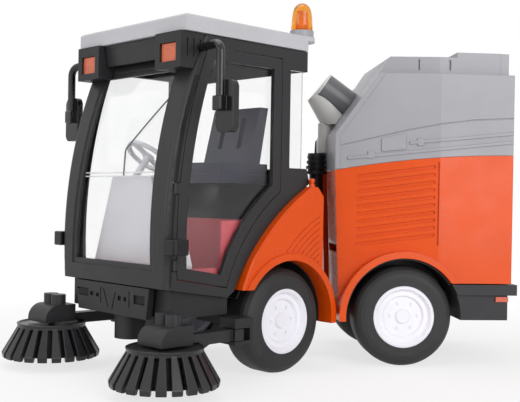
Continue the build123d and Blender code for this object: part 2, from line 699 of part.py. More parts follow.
# Front chassis: beam, riser under the cab, axle bearers, arm brackets and the pivot fork
with BuildPart() as front_chassis:
    block((-40, -CHASSIS_HALF_W, BEAM_LOW_Z), (BEAM_FRONT_X, CHASSIS_HALF_W, BEAM_HIGH_Z))
    block((-24, -CHASSIS_HALF_W, BEAM_HIGH_Z), (38, CHASSIS_HALF_W, 112))
    slab(cab_outline, -60, 60, SEAT_GAP, Mode.SUBTRACT)
    for side in (1, -1):
        low_y, high_y = sorted((side * (CHASSIS_HALF_W - 8), side * CHASSIS_HALF_W))
        block((-BEARER_HALF_L, low_y, BEARER_LOW_Z), (BEARER_HALF_L, high_y, BEAM_LOW_Z))
        low_y, high_y = sorted((side * (CHASSIS_HALF_W - 4), side * (ARM_ROOT_Y + ROOT_HALF_W)))
        block((ROOT_BACK_X, low_y, 33), (ROOT_FRONT_X - 4, high_y, ROOT_HIGH_Z))
        low_y, high_y = sorted((side * (CHASSIS_HALF_W - 4), side * CHASSIS_HALF_W))
        block((ROOT_BACK_X, low_y, 33), (ROOT_FRONT_X - 4, high_y, BEAM_LOW_Z + 1))
        low_y, high_y = sorted((side * (ARM_ROOT_Y - ROOT_HALF_W), side * (ARM_ROOT_Y + ROOT_HALF_W)))
        block((ROOT_BACK_X, low_y, ROOT_LOW_Z), (ROOT_FRONT_X, high_y, ROOT_HIGH_Z))
        block((ROOT_BACK_X + ROOT_WEB, low_y - 1, ARM_LOW_Z - SIDE_GAP),
              (ROOT_FRONT_X + 1, high_y + 1, ARM_HIGH_Z + SIDE_GAP), Mode.SUBTRACT)
        post(ARM_ROOT_X, side * ARM_ROOT_Y, ROOT_LOW_Z, ROOT_HIGH_Z, ARM_PIN_R)
    for low_z in (EYE_LOW_Z - SIDE_GAP - FORK_T, EYE_HIGH_Z + SIDE_GAP):
        block((-PIVOT_BEHIND_AXLE, -NECK_HALF_W, low_z), (-36, NECK_HALF_W, low_z + FORK_T))
        post(-PIVOT_BEHIND_AXLE, 0, low_z, low_z + FORK_T, NECK_HALF_W)
        post(-PIVOT_BEHIND_AXLE, 0, low_z, low_z + FORK_T, PIVOT_R + RUN_GAP, Mode.SUBTRACT)
    block((-40, -NECK_HALF_W, EYE_LOW_Z - SIDE_GAP - FORK_T), (-36, NECK_HALF_W, BEAM_LOW_Z))
    rod(0, wheel_r, -CHASSIS_HALF_W - 1, CHASSIS_HALF_W + 1, AXLE_R + RUN_GAP, Mode.SUBTRACT)
    post(PIPE_X, 0, BEAM_LOW_Z - 1, BEAM_HIGH_Z - 3, PIPE_R + SEAT_GAP, Mode.SUBTRACT)
front["front_chassis"] = front_chassis.part

# Dark panels under the cab's sides
with BuildPart() as side_skirts:
    for side in (1, -1):
        low_y, high_y = sorted((side * (CHASSIS_HALF_W + SEAT_GAP), side * SKIRT_HALF_W))
        block((SKIRT_BACK_X, low_y, SKIRT_LOW_Z), (SKIRT_FRONT_X, high_y, SKIRT_HIGH_Z))
    slab(cab_outline, -60, 60, SEAT_GAP, Mode.SUBTRACT)
    block((0, -60, CAB_SILL_Z), (100, 60, 80), Mode.SUBTRACT)
front["side_skirts"] = side_skirts.part

with BuildPart() as pivot_pin:
    pin_low = EYE_LOW_Z - SIDE_GAP - FORK_T
    pin_high = EYE_HIGH_Z + SIDE_GAP + FORK_T
    post(-PIVOT_BEHIND_AXLE, 0, pin_low, pin_high, PIVOT_R)
    post(-PIVOT_BEHIND_AXLE, 0, pin_high + SEAT_GAP, pin_high + SEAT_GAP + 2, PIVOT_R + 2)
    post(-PIVOT_BEHIND_AXLE, 0, pin_high - 1, pin_high + 1, PIVOT_R)
front["pivot_pin"] = pivot_pin.part

with BuildPart() as front_plate:
    with BuildSketch(facing(BEAM_FRONT_X + SEAT_GAP)):
        with BuildLine():
            Polyline(
                (PLATE_TAPER - PLATE_HALF_W, PLATE_LOW_Z),
                (PLATE_HALF_W - PLATE_TAPER, PLATE_LOW_Z),
                (PLATE_HALF_W, PLATE_HIGH_Z),
                (-PLATE_HALF_W, PLATE_HIGH_Z),
                close=True,
            )
        make_face()
    extrude(amount=PLATE_T)
    with BuildSketch(facing(BEAM_FRONT_X + SEAT_GAP + PLATE_T)):
        for mid_y, mid_z, width, height, turn in PLATE_CUTS:
            with Locations((mid_y, mid_z)):
                Rectangle(width, height, rotation=turn)
    extrude(amount=-PLATE_CUT, mode=Mode.SUBTRACT)
front["front_plate"] = front_plate.part

with BuildPart() as suction_pipe:
    post(PIPE_X, 0, PIPE_LOW_Z, BEAM_HIGH_Z - 3 - SEAT_GAP, PIPE_R)
    post(PIPE_X, 0, PIPE_LOW_Z - 1, BEAM_LOW_Z - 2, PIPE_R - PIPE_WALL, Mode.SUBTRACT)
front["suction_pipe"] = suction_pipe.part

# Brush arm: bar, quarter-round head, two knobs and the spindle
with BuildPart() as brush_arm_left:
    post(ARM_ROOT_X, ARM_ROOT_Y, ARM_LOW_Z, ARM_HIGH_Z, ARM_W / 2)
    with BuildSketch(Plane.XY.offset(ARM_LOW_Z)):
        with BuildLine():
            Polyline(
                (ARM_ROOT_X, ARM_ROOT_Y - ARM_W / 2),
                (BRUSH_X - HEAD_HALF, BRUSH_Y - ARM_W / 2),
                (BRUSH_X - HEAD_HALF, BRUSH_Y + ARM_W / 2),
                (ARM_ROOT_X, ARM_ROOT_Y + ARM_W / 2),
                close=True,
            )
        make_face()
    extrude(amount=ARM_HIGH_Z - ARM_LOW_Z)
    block((ARM_ROOT_X, ARM_ROOT_Y - ROOT_HALF_W, ARM_LOW_Z),
          (ROOT_FRONT_X, ARM_ROOT_Y + ROOT_HALF_W, ARM_HIGH_Z))
    block((BRUSH_X - HEAD_HALF, BRUSH_Y - HEAD_HALF, HEAD_LOW_Z),
          (BRUSH_X + HEAD_HALF, BRUSH_Y + HEAD_HALF, HEAD_HIGH_Z))
    nose = brush_arm_left.edges().filter_by(Axis.Y).group_by(Axis.X)[-1].sort_by(Axis.Z)[-1]
    fillet(nose, HEAD_HIGH_Z - HEAD_LOW_Z - 1.5)
    for dy in (-KNOB_R, KNOB_R):
        post(BRUSH_X - 2, BRUSH_Y + dy, HEAD_HIGH_Z - 2, KNOB_HIGH_Z, KNOB_R + 0.2)
    post(BRUSH_X, BRUSH_Y, 0, BRUSH_TOP_Z + SHUT_GAP, BRUSH_TOP_R + 1.5, Mode.SUBTRACT)
    post(BRUSH_X, BRUSH_Y, BRUSH_TOP_Z - 8, HEAD_LOW_Z + 1, SPINDLE_R)
    post(ARM_ROOT_X, ARM_ROOT_Y, ARM_LOW_Z, ARM_HIGH_Z, ARM_PIN_R + RUN_GAP, Mode.SUBTRACT)
front["brush_arm_left"] = brush_arm_left.part

# Brush: a slotted cone of flat tines under a flat top
with BuildPart() as brush_left:
    with BuildSketch(Plane(origin=(BRUSH_X, BRUSH_Y, 0), x_dir=(1, 0, 0), z_dir=(0, -1, 0))):
        with BuildLine():
            Polyline(
                (SPINDLE_R + RUN_GAP, BRUSH_TOP_Z),
                (BRUSH_TOP_R, BRUSH_TOP_Z),
                (BRUSH_TIP_R, BRUSH_LOW_Z + 3),
                (BRUSH_TIP_R - 0.6, BRUSH_LOW_Z),
                (BRUSH_TIP_R - 0.6 - BRUSH_WALL, BRUSH_LOW_Z),
                (BRUSH_TOP_R - BRUSH_WALL, BRUSH_TOP_Z - BRUSH_WALL),
                (BRUSH_HUB_R, BRUSH_TOP_Z - BRUSH_WALL),
                (BRUSH_HUB_R, BRUSH_TOP_Z - 10),
                (SPINDLE_R + RUN_GAP, BRUSH_TOP_Z - 10),
                close=True,
            )
        make_face()
    revolve(axis=Axis((BRUSH_X, BRUSH_Y, 0), (0, 0, 1)))
    with Locations((BRUSH_X, BRUSH_Y, (BRUSH_LOW_Z + BRUSH_TOP_Z) / 2 - 3.5)):
        with PolarLocations(BRUSH_TIP_R - 4, BRUSH_TINES):
            Box(16, TINE_GAP, BRUSH_TOP_Z - BRUSH_LOW_Z - 2, mode=Mode.SUBTRACT)
front["brush_left"] = brush_left.part

# Mirror on its bent tube, with a bracket and the glass side facing back
with BuildPart() as mirror_left:
    with BuildLine() as arm_path:
        FilletPolyline(
            (MIRROR_X - 5, CAB_HALF_W + 0.3, MIRROR_ARM_Z),
            (MIRROR_X, mirror_y, MIRROR_ARM_Z),
            (MIRROR_X, mirror_y, MIRROR_LOW_Z + 12),
            radius=MIRROR_BEND_R,
        )
    with BuildSketch(Plane(origin=arm_path.line @ 0, z_dir=arm_path.line % 0)):
        Circle(MIRROR_ARM_R)
    sweep()
    block((MIRROR_X - 5.5, mirror_y + MIRROR_OFFSET - MIRROR_W / 2, MIRROR_LOW_Z),
          (MIRROR_X - 5.5 + MIRROR_T, mirror_y + MIRROR_OFFSET + MIRROR_W / 2, MIRROR_HIGH_Z))
    fillet(mirror_left.faces().sort_by(Axis.X)[0].edges(), 1.2)
    block((MIRROR_X - 3, mirror_y - 3.5, 153), (MIRROR_X + 3, mirror_y + 3.5, 161))
front["mirror_left"] = mirror_left.part

with BuildPart() as marker_lamps:
    for side in (1, -1):
        low_y, high_y = sorted((side * (CAB_HALF_W + SEAT_GAP), side * (CAB_HALF_W + MARKER_OUT)))
        block((MARKER_BACK_X, low_y, MARKER_LOW_Z), (MARKER_FRONT_X, high_y, MARKER_LOW_Z + MARKER_H))
    outer = [
        e for e in marker_lamps.edges().filter_by(Axis.Z)
        if abs(e.center().Y) > CAB_HALF_W + MARKER_OUT / 2
    ]
    fillet(outer, MARKER_ROUND)
front["marker_lamps"] = marker_lamps.part

# Inside of the cab
with BuildPart() as cab_tub:
    slab(cab_outline, -cab_in_y + PANE + 1, cab_in_y - PANE - 1, -CAB_WALL - PANE - TUB_GAP * 2)
    slab(cab_outline, -cab_in_y + PANE + 1 + TUB_WALL, cab_in_y - PANE - 1 - TUB_WALL,
         -CAB_WALL - PANE - TUB_GAP * 2 - TUB_WALL, Mode.SUBTRACT)
    block((-60, -60, TUB_HIGH_Z), (120, 60, 220), Mode.SUBTRACT)
    block((TUB_STEP_X, -60, TUB_STEP_Z), (120, 60, 220), Mode.SUBTRACT)
front["cab_tub"] = cab_tub.part

with BuildPart() as seat:
    block((SEAT_X - 14, -SEAT_HALF_W - 3, SEAT_BASE_Z), (SEAT_X + 30, SEAT_HALF_W + 3, 121))
    block((SEAT_X - 12, -SEAT_HALF_W, 121), (SEAT_X + 28, SEAT_HALF_W, SEAT_CUSHION_Z))
    with BuildSketch(across(SEAT_HALF_W)):
        with BuildLine():
            Polyline((SEAT_X - 4, 121), (SEAT_X - 12, SEAT_HIGH_Z), (SEAT_X - 5, SEAT_HIGH_Z),
                     (SEAT_X + 6, 121), close=True)
        make_face()
    extrude(amount=2 * SEAT_HALF_W)
    for mid_y in (-SEAT_SLOT_Y, SEAT_SLOT_Y):
        block((SEAT_X - 20, mid_y - SEAT_SLOT_W / 2, SEAT_HIGH_Z - 26),
              (SEAT_X + 20, mid_y + SEAT_SLOT_W / 2, SEAT_HIGH_Z - 6),
              Mode.SUBTRACT)
front["seat"] = seat.part

with BuildPart() as console:
    with BuildSketch(facing(DASH_X)):
        with BuildLine():
            Polyline(
                (-CONSOLE_HALF_W, CAB_SILL_Z - 10),
                (CONSOLE_HALF_W, CAB_SILL_Z - 10),
                (CONSOLE_HALF_W, CONSOLE_WAIST_Z),
                (CONSOLE_TOP_HALF_W, CONSOLE_TOP_Z),
                (-CONSOLE_TOP_HALF_W, CONSOLE_TOP_Z),
                (-CONSOLE_HALF_W, CONSOLE_WAIST_Z),
                close=True,
            )
        make_face()
    extrude(amount=-CONSOLE_DEPTH)
    slab(cab_outline, -cab_in_y, cab_in_y, -CAB_WALL - PANE - TUB_GAP * 2 - TUB_WALL - SEAT_GAP,
         Mode.INTERSECT)
front["console"] = console.part

with BuildPart() as steering_wheel:
    wheel_plane = Plane(origin=(WHEEL_X, 0, WHEEL_Z), z_dir=(-0.6, 0, 0.8))
    with BuildSketch(wheel_plane):
        Circle(WHEEL_RING_R)
        Circle(WHEEL_RING_R - 2.4, mode=Mode.SUBTRACT)
        Rectangle(2 * WHEEL_RING_R - 2, 3)
        Circle(3.4)
    extrude(amount=2)
    with BuildSketch(wheel_plane):
        Circle(2)
    extrude(amount=-20)
    block((0, -20, 0), (100, 20, CONSOLE_TOP_Z + SEAT_GAP), Mode.SUBTRACT)
front["steering_wheel"] = steering_wheel.part

for name in ("door", "door_glass", "fender", "brush_arm", "brush", "mirror"):
    with BuildPart() as twin:
        mirror(front[name + "_left"], about=Plane.XZ)
    front[name + "_right"] = twin.part

# Hopper plan and side outlines
notch_x = HOPPER_FRONT_X - NOTCH_DEPTH
with BuildSketch() as hopper_plan:
    with BuildLine():
        Polyline(
            (HOPPER_REAR_X, -HOPPER_HALF_W),
            (HOPPER_BEND_X, -HOPPER_HALF_W),
            (HOPPER_FRONT_X, -HOPPER_NOSE_HALF_W),
            (HOPPER_FRONT_X, -NOTCH_HALF_W),
            (notch_x, -NOTCH_HALF_W),
            (notch_x, NOTCH_HALF_W),
            (HOPPER_FRONT_X, NOTCH_HALF_W),
            (HOPPER_FRONT_X, HOPPER_NOSE_HALF_W),
            (HOPPER_BEND_X, HOPPER_HALF_W),
            (HOPPER_REAR_X, HOPPER_HALF_W),
            close=True,
        )
    make_face()

foot_front_x = HOPPER_FRONT_X - HOPPER_RAKE
arch_cx = -REAR_AXLE_BEHIND_PIVOT
with BuildSketch() as body_outline:
    with BuildLine():
        Polyline(
            (HOPPER_REAR_X, SEAM_REAR_Z),
            (HOPPER_REAR_X, HOPPER_FOOT_Z),
            (arch_cx - REAR_ARCH_R + 9, HOPPER_FOOT_Z),
            (arch_cx - REAR_ARCH_R + 9, SKIRT_FOOT_Z),
            (foot_front_x, SKIRT_FOOT_Z),
            (HOPPER_FRONT_X, SEAM_FRONT_Z),
        )
        ThreePointArc((HOPPER_FRONT_X, SEAM_FRONT_Z), (-82, SEAM_MID_Z), (HOPPER_REAR_X, SEAM_REAR_Z))
    make_face()

with BuildSketch() as cover_outline:
    with BuildLine():
        ThreePointArc(
            (HOPPER_FRONT_X, SEAM_FRONT_Z + SEAT_GAP),
            (-82, SEAM_MID_Z + SEAT_GAP),
            (HOPPER_REAR_X, SEAM_REAR_Z + SEAT_GAP),
        )
        Polyline(
            (HOPPER_REAR_X, SEAM_REAR_Z + SEAT_GAP),
            (HOPPER_REAR_X, LEDGE_Z),
            (LEDGE_FRONT_X, LEDGE_Z),
            (HOPPER_FRONT_X, COVER_KNEE_Z),
            (HOPPER_FRONT_X, SEAM_FRONT_Z + SEAT_GAP),
        )
    make_face()

with BuildSketch() as crown_outline:
    with BuildLine():
        Polyline(
            (HOPPER_REAR_X + 1, LEDGE_Z - 8),
            (HOPPER_REAR_X + 1, BLOCK_Z),
            (BLOCK_FRONT_X, BLOCK_Z),
            (BLOCK_FRONT_X, CROWN_Z),
            (CROWN_FRONT_X, CROWN_Z),
            (LEDGE_FRONT_X + 5, LEDGE_Z - 8),
            close=True,
        )
    make_face()


def prism(plan, low_z, high_z, grow=0.0, mode=Mode.ADD):
    """Extrudes a plan outline between two heights."""
    face = plan.sketch
    if grow:
        face = offset(face, grow, kind=Kind.INTERSECTION, mode=Mode.PRIVATE)
    with BuildSketch(Plane.XY.offset(low_z), mode=Mode.PRIVATE) as section:
        add(face)
    extrude(section.sketch, amount=high_z - low_z, mode=mode)


def side_band(outline, proud, depth, low_z, high_z):
    """The part of the hopper's skin inside an x-z outline, from a depth below it to a height proud of it."""
    with BuildPart() as band:
        prism(hopper_plan, low_z, high_z, proud)
        prism(hopper_plan, low_z - 1, high_z + 1, -depth, Mode.SUBTRACT)
        slab(outline, -70, 70, 0.0, Mode.INTERSECT)
        block((-200, -NOTCH_HALF_W - 5, 0), (0, NOTCH_HALF_W + 5, 300), Mode.SUBTRACT)
    return band.part


def strip(line, height):
    """A closed outline under a line of points, as high as asked."""
    return [*line, *((x, z - height) for x, z in reversed(line))]


with BuildSketch() as louvre_outline:
    louvre_l = sqrt((LOUVRE_FRONT_X - LOUVRE_REAR_X) ** 2 + LOUVRE_FALL ** 2)
    louvre_turn = -degrees(atan2(LOUVRE_FALL, LOUVRE_FRONT_X - LOUVRE_REAR_X))
    for k in range(LOUVRES):
        mid_x = (LOUVRE_REAR_X + LOUVRE_FRONT_X) / 2
        with Locations((mid_x, LOUVRE_HIGH_Z - LOUVRE_FALL / 2 - k * LOUVRE_PITCH)):
            SlotOverall(louvre_l, LOUVRE_W, rotation=louvre_turn)
    with Locations((POST_LINE_X, (POST_LINE_LOW_Z + POST_LINE_HIGH_Z) / 2)):
        Rectangle(POST_LINE_W, POST_LINE_HIGH_Z - POST_LINE_LOW_Z)

with BuildSketch() as crease_outline:
    Polygon(*strip(CREASE_LINE, CREASE_T), align=None)

with BuildSketch() as rail_outline:
    Polygon(*strip(LOW_RAIL_LINE, RAIL_T), align=None)
    Polygon(*strip(HIGH_RAIL_LINE, RAIL_T), align=None)
    Polygon(*PANEL_CORNERS, align=None)
    for mid_x, mid_z, length, height in CLAMPS:
        with Locations((mid_x, mid_z)):
            Rectangle(length, height)

with BuildSketch() as flange_outline:
    Polygon(
        (LEDGE_FRONT_X - FLANGE_W * 1.2, LEDGE_Z),
        (LEDGE_FRONT_X, LEDGE_Z),
        (HOPPER_FRONT_X, COVER_KNEE_Z),
        (HOPPER_FRONT_X, SEAM_FRONT_Z + 1),
        (HOPPER_FRONT_X - FLANGE_W, SEAM_FRONT_Z + 1),
        (HOPPER_FRONT_X - FLANGE_W, COVER_KNEE_Z - 1),
        align=None,
    )

# Room under the hopper's floor, between its skirts
with BuildPart() as under_room:
    prism(hopper_plan, SKIRT_FOOT_Z - 1, HOPPER_FLOOR_Z, -HOPPER_WALL)
    slab(body_outline, -60, 60, -0.01, Mode.INTERSECT)

# Louvres, crease, rails and flange of the hopper's sides
louvre_band = side_band(louvre_outline, 1, LOUVRE_DEPTH, HOPPER_FLOOR_Z, SEAM_REAR_Z)
crease_band = side_band(crease_outline, 1, CREASE_DEPTH, SEAM_FRONT_Z, LEDGE_Z)
rail_band = side_band(rail_outline, RAIL_PROUD, 0.2, SEAM_FRONT_Z, LEDGE_Z)
flange_band = side_band(flange_outline, FLANGE_PROUD, 0.2, SEAM_FRONT_Z, LEDGE_Z)

# Hopper body: open shell with a floor, flared arches and an opening for the rear door
with BuildPart() as hopper_body:
    prism(hopper_plan, SKIRT_FOOT_Z, SEAM_REAR_Z + 2)
    slab(body_outline, -60, 60, 0.0, Mode.INTERSECT)
    prism(hopper_plan, HOPPER_FLOOR_Z + HOPPER_WALL, SEAM_REAR_Z + 3, -HOPPER_WALL, Mode.SUBTRACT)
    add(under_room.part, mode=Mode.SUBTRACT)
    for side in (1, -1):
        low_y, high_y = sorted((side * 40, side * REAR_FLARE_Y))
        rod(arch_cx, wheel_r, low_y, high_y, REAR_ARCH_R + ARCH_LIP)
    block((arch_cx - 60, -60, -20), (0, 60, SKIRT_FOOT_Z), Mode.SUBTRACT)
    block((-150, -60, -20), (arch_cx - REAR_ARCH_R + 9, 60, HOPPER_FOOT_Z), Mode.SUBTRACT)
    rod(arch_cx, wheel_r, -60, 60, REAR_ARCH_R, Mode.SUBTRACT)
    block((HOPPER_REAR_X - 1, -FLAP_HALF_W, FLAP_LOW_Z), (HOPPER_REAR_X + 5, FLAP_HALF_W, FLAP_HIGH_Z),
          Mode.SUBTRACT)
    block((REAR_BEAM_FRONT_X, -NOTCH_HALF_W, SKIRT_FOOT_Z - 1), (0, NOTCH_HALF_W, EYE_HIGH_Z + 3),
          Mode.SUBTRACT)
    add(louvre_band, mode=Mode.SUBTRACT)
    for side in (1, -1):
        for way in (1, -1):
            near = side * FLAP_EAR_Y + way * (FLAP_EAR_L / 2 + SIDE_GAP)
            low_y, high_y = sorted((near, near + way * FLAP_LUG_T))
            rod(FLAP_HINGE_X, FLAP_HINGE_Z, low_y, high_y, FLAP_BARREL_R)
            block((FLAP_HINGE_X, low_y, FLAP_HINGE_Z - 1),
                  (HOPPER_REAR_X + 1, high_y, FLAP_HINGE_Z + FLAP_BARREL_R))
        low_y, high_y = side * FLAP_EAR_Y - FLAP_EAR_L, side * FLAP_EAR_Y + FLAP_EAR_L
        rod(FLAP_HINGE_X, FLAP_HINGE_Z, low_y + 1, high_y - 1, FLAP_PIN_R)
    for side in (1, -1):
        low_y, high_y = sorted((side * (TIP_Y - 0.5), side * (TIP_Y + 2 * TIP_BARREL_L + 1)))
        block((HOPPER_REAR_X - 1, low_y, HOPPER_FOOT_Z - 1), (TIP_X + 2.2, high_y, TIP_Z + 2.2),
              Mode.SUBTRACT)
        low_y, high_y = sorted((side * (TIP_Y + TIP_BARREL_L + 0.3), side * (TIP_Y + 2 * TIP_BARREL_L)))
        rod(TIP_X, TIP_Z, low_y, high_y, TIP_BARREL_R)
        block((TIP_X - 1, low_y, TIP_Z), (TIP_X + 1, high_y, TIP_Z + 4))
        rod(TIP_X, TIP_Z, low_y - 1, high_y + 1, TIP_PIN_R + RUN_GAP, Mode.SUBTRACT)
rear["hopper_body"] = hopper_body.part

# Hopper cover: a hollow lid with an inset crown on its ledge
with BuildPart() as crown_slots:
    for mid_x, width, low_z, high_z in CROWN_SLOTS:
        block((mid_x - width / 2, -60, low_z), (mid_x + width / 2, 60, high_z))
    prism(hopper_plan, LEDGE_Z, BLOCK_Z, -CROWN_INSET - CROWN_SLOT_DEPTH, Mode.SUBTRACT)
with BuildPart() as crown:
    prism(hopper_plan, LEDGE_Z - 10, BLOCK_Z + 1, -CROWN_INSET)
    slab(crown_outline, -60, 60, 0.0, Mode.INTERSECT)
    add(crown_slots.part, mode=Mode.SUBTRACT)
with BuildSketch() as cover_room_outline:
    with BuildLine():
        Polyline(
            (HOPPER_REAR_X, SEAM_FRONT_Z - 3),
            (HOPPER_REAR_X, LEDGE_Z - HOPPER_WALL),
            (LEDGE_FRONT_X - HOPPER_WALL, LEDGE_Z - HOPPER_WALL),
            (HOPPER_FRONT_X - HOPPER_WALL, COVER_KNEE_Z - HOPPER_WALL),
            (HOPPER_FRONT_X - HOPPER_WALL, SEAM_FRONT_Z - 3),
            close=True,
        )
    make_face()
with BuildPart() as cover_room:
    prism(hopper_plan, SEAM_FRONT_Z - 2, LEDGE_Z - HOPPER_WALL, -HOPPER_WALL)
    slab(cover_room_outline, -60, 60, 0.0, Mode.INTERSECT)
with BuildPart() as hopper_cover:
    prism(hopper_plan, SEAM_FRONT_Z - 1, LEDGE_Z + 1)
    slab(cover_outline, -60, 60, 0.0, Mode.INTERSECT)
    add(crown.part)
    add(cover_room.part, mode=Mode.SUBTRACT)
    add(crease_band, mode=Mode.SUBTRACT)
    add(rail_band)
    add(flange_band)
rear["hopper_cover"] = hopper_cover.part

with BuildPart() as hopper_door:
    block((HOPPER_REAR_X, SHUT_GAP - FLAP_HALF_W, FLAP_LOW_Z + SHUT_GAP),
          (HOPPER_REAR_X + FLAP_T, FLAP_HALF_W - SHUT_GAP, FLAP_HIGH_Z - SHUT_GAP))
    for side in (1, -1):
        low_y, high_y = side * FLAP_EAR_Y - FLAP_EAR_L / 2, side * FLAP_EAR_Y + FLAP_EAR_L / 2
        rod(FLAP_HINGE_X, FLAP_HINGE_Z, low_y, high_y, FLAP_BARREL_R)
        block((FLAP_HINGE_X - 1, low_y, FLAP_HIGH_Z - 5), (HOPPER_REAR_X + 1, high_y, FLAP_HIGH_Z - SHUT_GAP))
        block((FLAP_HINGE_X - 1, low_y, FLAP_HIGH_Z - 1), (FLAP_HINGE_X + 1, high_y, FLAP_HINGE_Z))
        rod(FLAP_HINGE_X, FLAP_HINGE_Z, low_y, high_y, FLAP_PIN_R + RUN_GAP, Mode.SUBTRACT)
rear["hopper_door"] = hopper_door.part

# Intake duct on the raked front: a stub square to the slope, an elbow and a drop tube
rake = Vector(HOPPER_FRONT_X - LEDGE_FRONT_X, 0, COVER_KNEE_Z - LEDGE_Z)
slope_dir = rake.normalized()
out_dir = Vector(-slope_dir.Z, 0, slope_dir.X)
duct_root = Vector(HOPPER_FRONT_X, 0, COVER_KNEE_Z) - slope_dir * DUCT_UP_SLOPE
stub_plane = Plane(origin=duct_root + out_dir * SEAT_GAP, x_dir=(0, 1, 0), z_dir=out_dir)
with BuildPart() as duct_stub:
    with BuildSketch(stub_plane):
        Circle(DUCT_R)
    extrude(amount=DUCT_L)
rear["duct_stub"] = duct_stub.part

# Hood of the elbow: a round pipe that leans back under the stub, trimmed level with the stub's open end
hood_tip = Vector(HOOD_TIP_X, 0, HOOD_TIP_Z)
hood_dir = Vector(HOOD_FOOT_X - HOOD_TIP_X, 0, HOOD_FOOT_Z - HOOD_TIP_Z).normalized()
hood_back = Vector(hood_dir.Z, 0, -hood_dir.X)
cap_top = duct_root + out_dir * (DUCT_L + CAP_T) - slope_dir * DUCT_R
cap_dir = (hood_tip - cap_top).normalized()
with BuildPart() as duct_elbow:
    with BuildSketch(Plane(origin=hood_tip + hood_back * HOOD_R - hood_dir * HOOD_R, x_dir=(0, 1, 0),
                           z_dir=hood_dir)):
        Circle(HOOD_R)
    extrude(amount=HOOD_R * 5)
    with BuildSketch(stub_plane.offset(DUCT_L)):
        Circle(DUCT_R)
    extrude(amount=CAP_T + SEAT_GAP)
    split(bisect_by=Plane(origin=hood_tip, x_dir=(0, 1, 0), z_dir=Vector(-cap_dir.Z, 0, cap_dir.X)),
          keep=Keep.BOTTOM)
    split(bisect_by=Plane.XY.offset(HOOD_FOOT_Z), keep=Keep.TOP)
    with BuildSketch(stub_plane.offset(-DUCT_L)):
        Circle(DUCT_R + SEAT_GAP)
    extrude(amount=DUCT_L * 2 + SEAT_GAP, mode=Mode.SUBTRACT)
    slab(cover_outline, -60, 60, SEAT_GAP, Mode.SUBTRACT)
    post(TUBE_X, 0, TUBE_LOW_Z, HOOD_FOOT_Z + 1, TUBE_R)
rear["duct_elbow"] = duct_elbow.part

with BuildPart() as bellows:
    post(RISER_X, 0, BELLOWS_LOW_Z, BELLOWS_HIGH_Z, BELLOWS_R - 1.6)
    step = (BELLOWS_HIGH_Z - BELLOWS_LOW_Z) / BELLOWS_RIBS
    for k in range(BELLOWS_RIBS):
        post(RISER_X, 0, BELLOWS_LOW_Z + k * step, BELLOWS_LOW_Z + (k + 0.55) * step, BELLOWS_R - 0.4 * k)
    with Locations((SPIKE_X, 0, BELLOWS_HIGH_Z + SPIKE_H / 2)):
        Cone(SPIKE_R, SPIKE_R / 2, SPIKE_H)
rear["bellows"] = bellows.part
with BuildPart() as riser_pipe:
    post(RISER_X, 0, EYE_HIGH_Z + SEAT_GAP, BELLOWS_LOW_Z - SEAT_GAP, RISER_R)
rear["riser_pipe"] = riser_pipe.part

# Rear chassis: eye and neck, main beam, axle bearers and the hopper's rest pad
with BuildPart() as rear_chassis:
    block((REAR_BEAM_REAR_X, -CHASSIS_HALF_W, REAR_BEAM_LOW_Z),
          (REAR_BEAM_FRONT_X, CHASSIS_HALF_W, REAR_BEAM_HIGH_Z))
    block((REAR_BEAM_FRONT_X - 2, -NECK_HALF_W, EYE_LOW_Z), (0, NECK_HALF_W, EYE_HIGH_Z))
    post(0, 0, EYE_LOW_Z, EYE_HIGH_Z, NECK_HALF_W)
    post(0, 0, EYE_LOW_Z - 1, EYE_HIGH_Z + 1, PIVOT_R + RUN_GAP, Mode.SUBTRACT)
    block((PAD_X - PAD_L / 2, -20, REAR_BEAM_HIGH_Z), (PAD_X + PAD_L / 2, 20, HOPPER_FLOOR_Z - 0.3))
    for side in (1, -1):
        low_y, high_y = sorted((side * (CHASSIS_HALF_W - 8), side * CHASSIS_HALF_W))
        block((arch_cx - BEARER_HALF_L, low_y, BEARER_LOW_Z),
              (arch_cx + BEARER_HALF_L, high_y, REAR_BEAM_LOW_Z))
    rod(arch_cx, wheel_r, -CHASSIS_HALF_W - 1, CHASSIS_HALF_W + 1, AXLE_R + RUN_GAP, Mode.SUBTRACT)
rear["rear_chassis"] = rear_chassis.part

with BuildPart() as bumper:
    block((BUMPER_REAR_X, -HOPPER_HALF_W, BUMPER_BAR_LOW_Z),
          (BUMPER_FRONT_X, HOPPER_HALF_W, BUMPER_BAR_HIGH_Z))
    block((BLOCK_REAR_X, -BLOCK_HALF_W, BUMPER_LOW_Z), (BUMPER_FRONT_X, BLOCK_HALF_W, BUMPER_BAR_LOW_Z))
    block((-150, -CHASSIS_HALF_W - 0.3, 0), (0, CHASSIS_HALF_W + 0.3, BUMPER_BAR_LOW_Z), Mode.SUBTRACT)
    rod(arch_cx, wheel_r, -60, 60, REAR_ARCH_R, Mode.SUBTRACT)
    for side in (1, -1):
        low_y, high_y = sorted((side * TIP_Y, side * (TIP_Y + TIP_BARREL_L)))
        block((TIP_X - 1, low_y, BUMPER_BAR_HIGH_Z - 1), (TIP_X + 1, high_y, TIP_Z))
        rod(TIP_X, TIP_Z, low_y, high_y, TIP_BARREL_R)
        rod(TIP_X, TIP_Z, low_y, high_y, TIP_PIN_R, Mode.SUBTRACT)
        low_y, high_y = sorted((side * TIP_Y, side * (TIP_Y + 2 * TIP_BARREL_L - 0.5)))
        rod(TIP_X, TIP_Z, low_y, high_y, TIP_PIN_R)
rear["bumper"] = bumper.part

with BuildPart() as tail_lamps:
    for side in (1, -1):
        low_y, high_y = sorted((side * (BLOCK_HALF_W + SEAT_GAP), side * (BLOCK_HALF_W + 1.4)))
        block((BLOCK_REAR_X, low_y, TAIL_LAMP_LOW_Z),
              (BLOCK_REAR_X + TAIL_LAMP_L, high_y, TAIL_LAMP_LOW_Z + TAIL_LAMP_H))
rear["tail_lamps"] = tail_lamps.part

